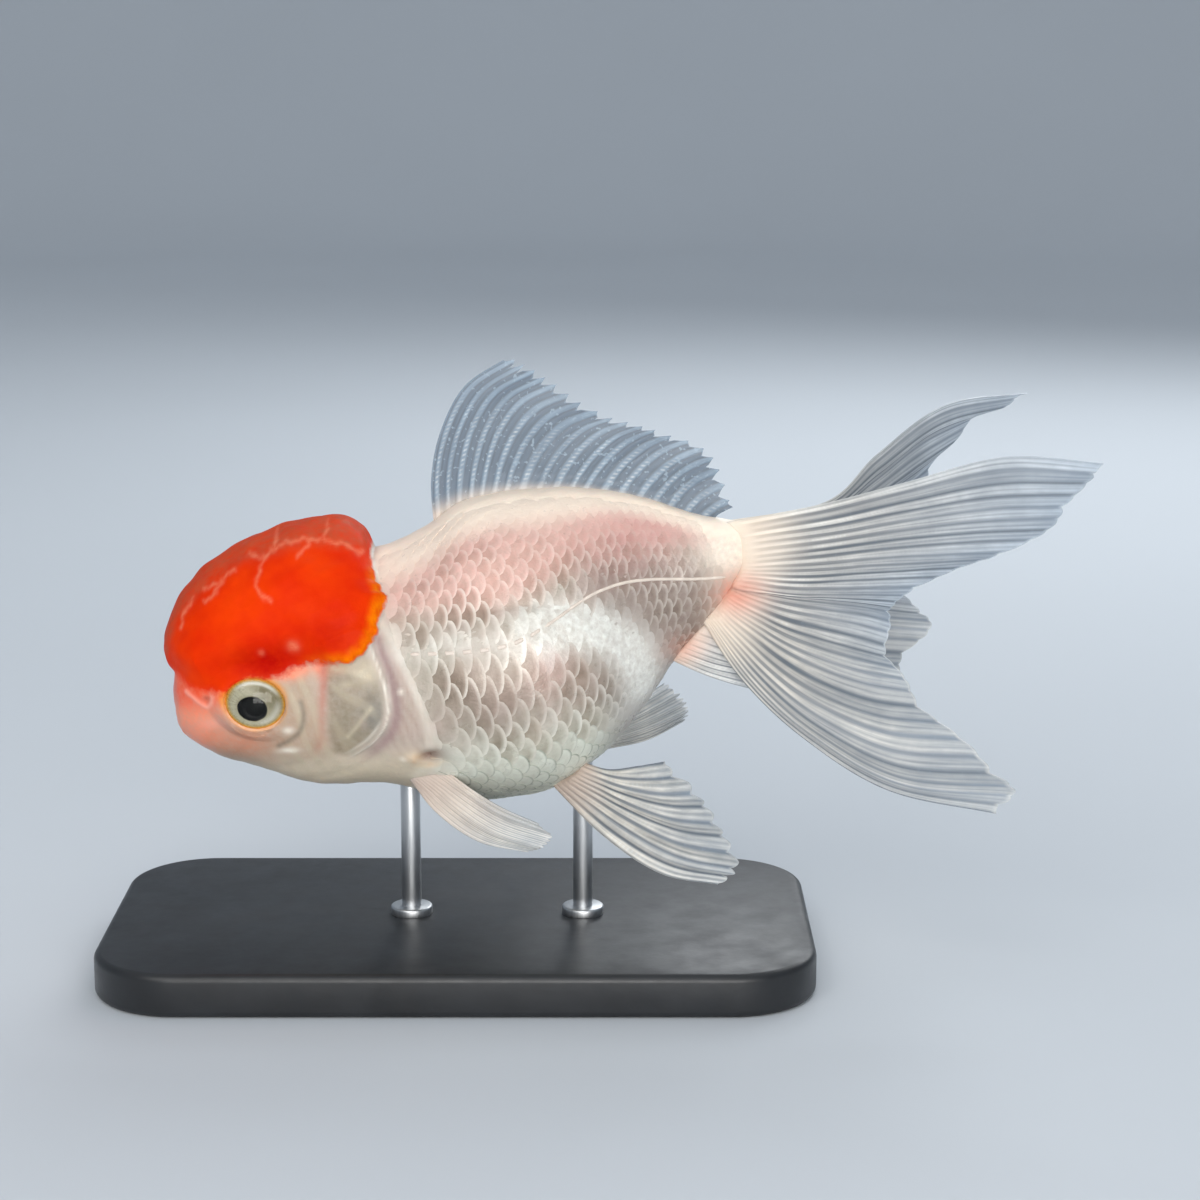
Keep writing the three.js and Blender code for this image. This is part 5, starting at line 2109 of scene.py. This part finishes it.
DORSAL = np.array([
    [(-2.5, 0, 17.6), (-1.5, 0, 26.0), (1.5, 0, 33.5), (6.6, 0, 39.8), (14.7, 0, 43.3)],
    [(4.0, 0, 20.0), (6.0, 0, 26.4), (9.0, 0, 32.2), (13.4, 0, 36.6), (19.8, 0, 38.6)],
    [(12.0, 0, 20.6), (14.4, 0, 24.8), (17.6, 0, 28.4), (21.6, 0, 31.0), (26.7, 0, 32.0)],
    [(21.5, 0, 19.2), (24.2, 0, 22.2), (27.4, 0, 24.9), (31.0, 0, 26.8), (35.0, 0, 27.6)],
    [(31.0, 0, 15.8), (33.4, 0, 18.2), (36.4, 0, 20.4), (39.6, 0, 21.8), (43.0, 0, 22.4)],
    [(40.4, 0, 11.2), (41.6, 0, 12.0), (42.6, 0, 12.6), (43.8, 0, 13.0), (44.9, 0, 13.3)],
], float)
PECTORAL = np.array([
    [(-12.9, -11.0, -18.2), (-9.2, -16.0, -23.4), (-3.2, -19.4, -28.3), (4.2, -22.0, -30.7)],
    [(-11.5, -12.0, -17.3), (-7.0, -16.5, -22.0), (-0.9, -19.9, -27.0), (6.8, -22.6, -30.3)],
    [(-10.0, -12.6, -16.4), (-5.2, -16.9, -20.4), (1.0, -20.2, -25.2), (8.5, -22.6, -28.6)],
    [(-8.6, -13.0, -15.2), (-4.4, -16.8, -19.0), (0.8, -19.6, -23.1), (6.4, -21.8, -26.4)],
])
PELVIC_LEFT = np.array([
    [(8.4, -5.0, -24.6), (15.8, -11.0, -33.4), (24.0, -15.0, -39.9), (33.0, -18.3, -42.3)],
    [(10.2, -6.0, -24.0), (18.4, -11.6, -31.2), (27.0, -15.8, -36.8), (36.2, -19.0, -39.5)],
    [(11.8, -6.8, -23.4), (19.5, -12.0, -28.3), (27.2, -15.8, -32.0), (34.6, -18.8, -33.4)],
    [(13.2, -7.2, -22.8), (19.4, -11.8, -25.5), (25.8, -15.0, -27.2), (32.0, -17.8, -27.4)],
    [(14.2, -7.0, -21.8), (18.3, -10.3, -22.9), (22.9, -13.2, -22.5), (27.4, -16.0, -21.8)],
])
PELVIC_RIGHT = np.array([
    [(9.3, 5.4, -24.4), (16.0, 11.5, -25.4), (24.0, 18.0, -26.8), (31.0, 24.5, -26.3)],
    [(11.0, 6.3, -23.8), (17.5, 12.5, -24.4), (25.0, 19.0, -25.0), (32.1, 26.0, -24.8)],
    [(12.6, 7.0, -23.1), (18.5, 13.2, -23.0), (25.0, 19.5, -22.7), (31.2, 26.0, -22.2)],
    [(14.2, 7.0, -21.8), (18.7, 13.2, -21.3), (24.0, 19.0, -20.0), (29.0, 25.0, -19.2)],
])
ANAL = np.array([
    [(30.6, -1.8, -8.8), (36.2, -3.8, -12.1), (42.6, -5.0, -15.0), (49.5, -6.0, -17.6)],
    [(32.2, -2.1, -7.6), (38.0, -4.2, -10.6), (44.5, -5.4, -12.8), (50.5, -6.4, -14.6)],
    [(34.6, -2.3, -5.8), (39.6, -4.3, -8.2), (44.8, -5.5, -10.4), (49.6, -6.4, -11.8)],
    [(37.4, -2.3, -3.4), (41.6, -4.2, -5.2), (45.6, -5.4, -7.4), (49.0, -6.2, -9.0)],
])
TAIL_LEFT = np.array([
    [(42.2, -0.7, 11.2), (58.0, -6.4, 12.5), (71.0, -13.2, 14.9), (86.0, -21.6, 17.7), (100.2, -28.0, 15.3)],
    [(43.6, -1.0, 8.2), (58.5, -7.4, 8.8), (71.0, -13.8, 10.3), (83.5, -20.9, 11.5), (95.2, -27.6, 11.0)],
    [(43.8, -1.4, 4.8), (57.0, -8.0, 5.2), (68.5, -13.8, 5.8), (79.5, -19.8, 6.0), (89.6, -26.0, 5.8)],
    [(43.2, -1.6, 3.0), (54.5, -7.6, 2.2), (63.0, -11.8, 2.1), (71.0, -16.6, 2.1), (78.6, -22.0, 2.3)],
    [(42.2, -1.7, 1.4), (51.0, -7.4, -0.4), (57.0, -10.6, -0.9), (63.0, -14.0, -1.2), (68.7, -18.0, -1.4)],
    [(42.0, -1.7, 0.9), (50.8, -7.5, -1.2), (56.5, -10.8, -2.2), (62.0, -13.8, -3.2), (66.3, -16.8, -4.2)],
    [(41.0, -1.8, 0.2), (49.4, -8.2, -4.2), (55.0, -11.2, -6.2), (60.4, -14.0, -8.0), (64.8, -16.4, -9.6)],
    [(39.8, -1.9, -0.6), (48.2, -8.6, -7.6), (54.4, -12.0, -11.4), (60.6, -15.0, -14.0),
     (66.8, -17.8, -15.6)],
    [(38.6, -2.0, -1.4), (46.4, -9.0, -11.2), (53.0, -12.9, -17.0), (61.8, -16.6, -21.6),
     (72.2, -20.4, -23.6)],
    [(37.4, -2.0, -2.0), (43.8, -8.9, -12.8), (51.6, -13.6, -21.6), (63.4, -18.0, -29.8),
     (80.2, -22.2, -33.0)],
    [(36.4, -2.0, -2.2), (41.6, -8.7, -12.7), (49.4, -13.4, -22.3), (61.0, -18.0, -31.7),
     (76.8, -21.6, -37.2)],
])
TAIL_RIGHT = np.array([
    [(42.2, 0.7, 11.2), (60.0, 7.0, 10.2), (70.0, 12.0, 15.6), (83.0, 19.2, 20.4), (97.9, 28.0, 18.4)],
    [(43.6, 1.0, 8.2), (59.0, 7.6, 7.8), (69.0, 13.0, 11.6), (79.0, 19.0, 15.6), (89.4, 25.6, 16.9)],
    [(43.8, 1.4, 4.8), (57.0, 8.4, 5.0), (66.6, 13.5, 7.0), (74.6, 18.4, 9.6), (81.0, 22.4, 12.2)],
    [(43.2, 1.6, 3.0), (54.5, 8.2, 2.0), (62.5, 12.3, 2.4), (70.0, 16.4, 3.4), (76.0, 20.0, 4.8)],
    [(42.2, 1.7, 1.4), (51.4, 7.8, -0.6), (57.6, 11.0, -1.4), (63.2, 13.6, -2.2), (68.2, 15.8, -2.8)],
    [(42.0, 1.7, 0.9), (51.2, 8.0, -1.6), (57.6, 11.2, -3.6), (64.0, 13.4, -6.2), (70.6, 14.2, -8.6)],
    [(40.8, 1.8, 0.2), (50.2, 8.8, -5.4), (58.4, 12.2, -9.4), (66.6, 14.4, -12.4), (74.6, 15.0, -14.6)],
    [(39.4, 1.9, -0.9), (48.0, 9.2, -10.0), (55.0, 12.8, -15.0), (61.8, 14.8, -18.4), (68.6, 15.0, -20.4)],
    [(37.8, 2.0, -1.8), (45.0, 9.2, -12.6), (52.4, 13.4, -20.0), (60.0, 15.6, -25.2), (67.6, 16.0, -28.2)],
    [(36.4, 2.0, -2.2), (42.2, 8.4, -13.2), (49.4, 13.0, -22.0), (58.8, 15.8, -29.2), (69.2, 16.2, -33.2)],
])


def all_fins() -> list:
    """Lists the fish's ten fins, the tail as one sheet on each side.

    Returns:
        The fins.
    """
    dorsal = Fin("dorsal_fin", ("dorsal_fin",), DORSAL, 19, 64, notch=1.7, pleat=0.1, branch=1.4, width=0.4,
                 spikes=0.7, corner=1.4, plain=0.18, clear=1.0, dull=0.3, groove=0.9, valley=0.0,
                 uneven=0.15, steps=14, ridge=0.08)
    tail = {"rays": 32, "rows": 84, "notch": 0.4, "pleat": 0.5, "pleats": 8.0, "branch": 0.45, "tear": 1.4,
            "root_swell": 2.0, "root_reach": 0.2, "width": 0.5, "spikes": 2.0, "plain": 0.24, "uneven": 0.55,
            "warm": 0.6, "clear": 0.1, "ridge": 0.05, "valley": 0.75}
    breast = {"rays": 12, "rows": 44, "notch": 0.7, "pleat": 0.3, "pleats": 3.0, "width": 0.9, "plain": 0.9,
              "clear": 0.0, "groove": 0.0, "valley": 0.2, "uneven": 0.2, "warm": -1.0, "ridge": 0.06,
              "root_swell": 1.3, "root_reach": 0.3, "dull": 1.0}
    vent = {"rays": 9, "rows": 36, "notch": 0.6, "pleats": 2.0, "width": 0.8, "groove": 0.2, "valley": 0.6,
            "ridge": 0.06, "dull": 0.6}
    hip = {"notch": 1.3, "pleat": 0.3, "pleats": 6.0, "steps": 12, "warm": -1.0, "dull": 1.0,
           "root_swell": 0.9}
    hips = {
        Side.LEFT: {"width": 0.6, "valley": 0.7, "ridge": 0.1, **hip},
        Side.RIGHT: {"width": 1.0, "valley": 0.2, "groove": 0.05, "uneven": 0.2, "ridge": 0.05, **hip},
    }
    fins = [dorsal]
    for side, pelvic, lobe in ((Side.LEFT, PELVIC_LEFT, TAIL_LEFT), (Side.RIGHT, PELVIC_RIGHT, TAIL_RIGHT)):
        flip = np.array([1.0, -side.value, 1.0])
        word = side.word
        fins += [
            Fin(f"pectoral_fin_{word}", (f"pectoral_fin_{word}",), PECTORAL * flip, **breast),
            Fin(f"pelvic_fin_{word}", (f"pelvic_fin_{word}",), pelvic, 9, 56, **hips[side]),
            Fin(f"anal_fin_{word}", (f"anal_fin_{word}",), ANAL * flip, **vent),
            Fin(f"tail_fin_{word}", (f"tail_fin_{word}_upper", f"tail_fin_{word}_lower"), lobe, **tail),
        ]
    return fins


@dataclass
class Eyeball:
    """One eye: a foil iris and pupil sunk under a clear cornea."""

    eye: Eye
    fish: FishFrame
    side: Side
    iris_sink: float = 0.55
    turns: int = 112
    rings: int = 112

    def ball(self) -> tuple:
        """Makes a unit ball whose pole points out of the fish.

        Returns:
            The mesh, and each vertex's direction from the ball's middle, in the fish frame.
        """
        bm = bmesh.new()
        bmesh.ops.create_uvsphere(bm, u_segments=self.turns, v_segments=self.rings, radius=1.0)
        turn = Matrix.Rotation(math.radians(-90.0 * self.side.value), 3, "X")
        bmesh.ops.rotate(bm, verts=bm.verts, matrix=turn)
        mesh = bpy.data.meshes.new("ball")
        bm.to_mesh(mesh)
        bm.free()
        return mesh, vertex_places(mesh)

    def pupil(self, x: Field, z: Field) -> Field:
        """Measures the slanting oval pupil.

        Args:
            x: How far towards the tail.
            z: How far up.

        Returns:
            0 in its middle and 1 on its edge.
        """
        dx, dz = x - self.eye.x + 0.5, z - self.eye.z + 0.25
        tilt = math.radians(-20.0)
        along = dx * math.cos(tilt) + dz * math.sin(tilt)
        across = dz * math.cos(tilt) - dx * math.sin(tilt)
        return np.hypot(along / 2.35, across / 1.95)

    def build(self, iris: IrisFinish, cornea: CorneaFinish) -> list:
        """Builds the eyeball and its cornea.

        Args:
            iris: Finish of the iris and pupil.
            cornea: Finish of the cornea.

        Returns:
            The two finished objects.
        """
        eye = self.eye
        centre = np.array([eye.x, self.side.value * eye.y, eye.z])
        mesh, out = self.ball()
        off = out[:, 1] * self.side.value
        radius = np.hypot(out[:, 0], out[:, 2]) * eye.radius
        dome = smoothstep(0.35, 0.62, off)
        sink = self.iris_sink * dome + 0.2 * smoothstep(2.0, 1.5, radius) * dome
        points = centre + out * (eye.radius - 0.05)
        front = self.side.value * (eye.front(radius) - 0.05)
        points[:, 1] = np.where(off > 0.3, front, points[:, 1]) - self.side.value * sink
        x, z = points[:, 0], points[:, 2]
        gap = eye.opening(x, z)
        turn = np.arctan2(z - eye.z - eye.raised, x - eye.x)
        hole = self.pupil(x, z)
        outer = lerp(hole - 1.0, np.clip((gap - 0.45) / 0.55, 0.0, 1.0), smoothstep(0.5, 0.9, gap))
        foil = smoothstep(1.02, 1.12, hole)
        upper = 0.75 * bump(gap - 0.82, 0.06) * smoothstep(0.3, 0.9, np.cos(turn - 1.25))
        lower = 0.35 * bump(gap - 0.74, 0.1) * smoothstep(0.6, 0.95, np.cos(turn + 0.8))
        halo = 0.3 * bump(hole - 1.16, 0.05) * smoothstep(0.3, 0.9, np.cos(turn - 1.1))
        set_attributes(mesh, {
            "ring": np.where(hole < 1.0, 0.45 * hole, 0.46 + 0.54 * np.clip(outer, 0.0, 1.0)),
            "spokes": (0.5 + 0.5 * np.sin(turn * 46.0 + 3.0 * np.sin(turn * 7.0))) * foil,
            "olive": 0.8 * smoothstep(0.2, 0.95, np.cos(turn - 0.45)) * smoothstep(0.92, 0.78, gap) * foil,
            "glint": np.clip(upper + lower + halo, 0.0, 1.0),
            "flame": smoothstep(0.82, 0.92, gap) * smoothstep(-0.1, 0.6, np.cos(turn - 1.8)),
        })
        set_places(mesh, self.fish.to_row(points))
        ball = dress(f"eyeball_{self.side.word}", mesh, iris.material or iris.build())
        place_on_body(ball, (f"eye_{self.side.word}",))

        shell, out = self.ball()
        off = out[:, 1] * self.side.value
        clear = centre + out * (eye.radius + 0.02)
        front = self.side.value * (eye.front(radius) + 0.02)
        inner = self.side.value * (eye.front(radius) - 0.4)
        clear[:, 1] = np.where(off > 0.3, front, inner)
        set_places(shell, self.fish.to_row(clear))
        cover = dress(f"cornea_{self.side.word}", shell, cornea.material or cornea.build())
        cover.visible_shadow = False
        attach(cover, BODY)
        return [ball, cover]


@dataclass
class Stand:
    """The plain display stand: a lacquered base and two steel rods up to the belly."""

    corner: float = 14.0 * MM
    edge: float = 1.2 * MM
    collar: float = 3.4 * MM
    collar_height: float = 1.6 * MM
    overlap: float = 0.7 * MM

    def base(self, lacquer: LacquerFinish) -> bpy.types.Object:
        """Builds the base: a slab with round corners and softened edges.

        Args:
            lacquer: The base's finish.

        Returns:
            The finished object.
        """
        low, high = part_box("stand_base")
        size = high - low
        bm = bmesh.new()
        bmesh.ops.create_cube(bm, size=1.0)
        bmesh.ops.scale(bm, vec=size, verts=bm.verts)
        bmesh.ops.translate(bm, vec=(low + high) / 2.0, verts=bm.verts)
        uprights = [e for e in bm.edges if abs(e.verts[0].co.z - e.verts[1].co.z) > size.z / 2.0]
        bmesh.ops.bevel(bm, geom=uprights, offset=self.corner, segments=20, profile=0.5, affect="EDGES",
                        material=-1)
        brims = [e for e in bm.edges if abs(e.verts[0].co.z - e.verts[1].co.z) < 1e-6]
        bmesh.ops.bevel(bm, geom=brims, offset=self.edge, segments=5, profile=0.5, affect="EDGES",
                        material=-1)
        bmesh.ops.recalc_face_normals(bm, faces=bm.faces)
        made = piece("stand_plate", bm, lacquer.build())
        made.data.set_sharp_from_angle(angle=math.radians(35.0))
        return place_on_body(made, ("stand_base",))

    def rod(self, node: str, steel: SteelFinish) -> bpy.types.Object:
        """Builds one rod with its collar on the base.

        Args:
            node: The rod's CAD node.
            steel: The rod's finish.

        Returns:
            The finished object.
        """
        low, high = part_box(node)
        radius = (high.x - low.x) / 2.0
        middle = (low + high) / 2.0
        top = high.z + self.overlap
        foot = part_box("stand_base")[1].z - 0.2 * MM
        bm = bmesh.new()
        shaft = bmesh.ops.create_cone(bm, cap_ends=True, segments=40, radius1=radius, radius2=radius,
                                      depth=top - foot)
        bmesh.ops.translate(bm, verts=shaft["verts"], vec=(middle.x, middle.y, (top + foot) / 2.0))
        ring = bmesh.ops.create_cone(bm, cap_ends=True, segments=40, radius1=self.collar,
                                     radius2=self.collar, depth=self.collar_height)
        above = foot + self.collar_height / 2.0
        bmesh.ops.translate(bm, verts=ring["verts"], vec=(middle.x, middle.y, above))
        lids = [e for e in bm.edges if abs(e.verts[0].co.z - e.verts[1].co.z) < 1e-6]
        bmesh.ops.bevel(bm, geom=lids, offset=0.35 * MM, segments=3, profile=0.5, affect="EDGES", material=-1)
        bmesh.ops.recalc_face_normals(bm, faces=bm.faces)
        made = piece(node.replace("stand_", "stand_steel_"), bm, steel.material or steel.build())
        made.data.set_sharp_from_angle(angle=math.radians(35.0))
        return place_on_body(made, (node,))


@dataclass
class Studio:
    """The stage: a round pale bowl of paper, soft lamps and the camera."""

    floor_radius: float = 1.3
    bend: float = 0.5
    wall: float = 1.6
    lens: float = 85.0
    distance: float = 0.4533
    elevation: float = math.radians(12.0)
    aim: tuple = (22.8 * MM, 0.0, 59.3 * MM)

    def backdrop(self) -> bpy.types.Object:
        """Builds the floor, which bends up into a wall all round.

        Returns:
            The floor.
        """
        bm = bmesh.new()
        start = bm.verts.new((0.0, 0.0, 0.0))
        last = bm.verts.new((self.floor_radius, 0.0, 0.0))
        bm.edges.new((start, last))
        bent = bmesh.ops.spin(bm, geom=[last], axis=(0.0, 1.0, 0.0), cent=(self.floor_radius, 0.0, self.bend),
                              angle=-math.radians(90.0), steps=16)
        top = [item for item in bent["geom_last"] if isinstance(item, bmesh.types.BMVert)]
        high = bmesh.ops.extrude_vert_indiv(bm, verts=top)["verts"]
        bmesh.ops.translate(bm, verts=high, vec=(0.0, 0.0, self.wall))
        edges = list(bm.edges)
        bmesh.ops.spin(bm, geom=list(bm.verts) + edges, axis=(0.0, 0.0, 1.0), cent=(0.0, 0.0, 0.0),
                       angle=math.radians(360.0), steps=96, use_merge=True)
        bmesh.ops.remove_doubles(bm, verts=bm.verts, dist=1e-5)
        bmesh.ops.recalc_face_normals(bm, faces=bm.faces)
        made = piece("floor", bm, StageFinish("studio_paper", 0.9).build())
        return made

    def lamp(self, name: str, place: tuple, target: tuple, size: float, power: float, colour: tuple) -> None:
        """Hangs one soft square lamp.

        Args:
            name: Its name.
            place: Where it hangs, in metres.
            target: What it points at.
            size: Its width in metres.
            power: Its power in watts.
            colour: Its linear colour.
        """
        light = bpy.data.lights.new(name, "AREA")
        light.size = size
        light.energy = power
        light.color = colour
        made = bpy.data.objects.new(name, light)
        made.location = place
        made.rotation_mode = "QUATERNION"
        made.rotation_quaternion = (Vector(target) - Vector(place)).to_track_quat("-Z", "Y")
        bpy.context.scene.collection.objects.link(made)

    def light(self) -> None:
        """Lights the fish softly from the upper left, with fill and a rim light behind."""
        self.lamp("key", (-0.22, -0.62, 0.5), self.aim, 0.6, 2.45, (1.0, 0.98, 0.95))
        self.lamp("fill", (0.1, -0.7, 0.04), self.aim, 0.5, 5.2, (1.0, 0.98, 0.95))
        self.lamp("rim", (0.25, 0.55, 0.5), self.aim, 0.5, 2.6, (0.95, 0.98, 1.0))
        world = bpy.data.worlds.new("studio")
        world.use_nodes = True
        world.node_tree.nodes["Background"].inputs["Color"].default_value = (0.75, 0.8, 0.86, 1.0)
        world.node_tree.nodes["Background"].inputs["Strength"].default_value = 0.8
        bpy.context.scene.world = world
        bpy.context.scene.view_settings.view_transform = "Standard"

    def camera(self) -> None:
        """Sets the camera level with the fish's left side, a little above it."""
        data = bpy.data.cameras.new("camera")
        data.lens = self.lens
        made = bpy.data.objects.new("camera", data)
        back = Vector((0.0, -math.cos(self.elevation), math.sin(self.elevation)))
        made.location = Vector(self.aim) + back * self.distance
        made.rotation_euler = (math.radians(90.0) - self.elevation, 0.0, 0.0)
        bpy.context.scene.collection.objects.link(made)
        bpy.context.scene.camera = made


def main() -> None:
    """Builds the fish, its stand and the stage, in order."""
    logging.basicConfig(level=logging.INFO, format="%(name)s: %(message)s")
    flesh = FleshForm()
    fish = FishFrame.from_eyes(flesh.eye.x, flesh.eye.z)
    pattern = Pattern(flesh)
    fins = all_fins()
    studio = Studio()
    studio.camera()

    Skin(flesh, pattern, fish).build(FishSkin("wet_fish_skin", 0.34, pattern=pattern))
    pores = PoreFinish("side_line_bone", 0.4)
    coat = ScaleFinish("overlapping_scales", 0.3, 0.1, pattern=pattern, sheen_depth=0.05)
    for side in Side:
        Scales(flesh, pattern, fish, side).build(coat)
        SideLine(flesh, fish, side).build(pores)
    membrane = FinFinish("fin_membrane_and_rays", 0.38)
    for fin in fins:
        fin.build(fish, pattern, membrane)
    iris = IrisFinish("foil_iris", 0.3)
    cornea = CorneaFinish("clear_cornea", 0.03)
    for side in Side:
        Eyeball(flesh.eye, fish, side).build(iris, cornea)

    stand = Stand()
    stand.base(LacquerFinish("satin_black_lacquer", 0.38))
    steel = SteelFinish("drawn_stainless_steel", 0.36, 1.0)
    for node in ("stand_rod_front", "stand_rod_rear"):
        stand.rod(node, steel)

    studio.backdrop()
    studio.light()


if __name__ == "__main__":
    main()
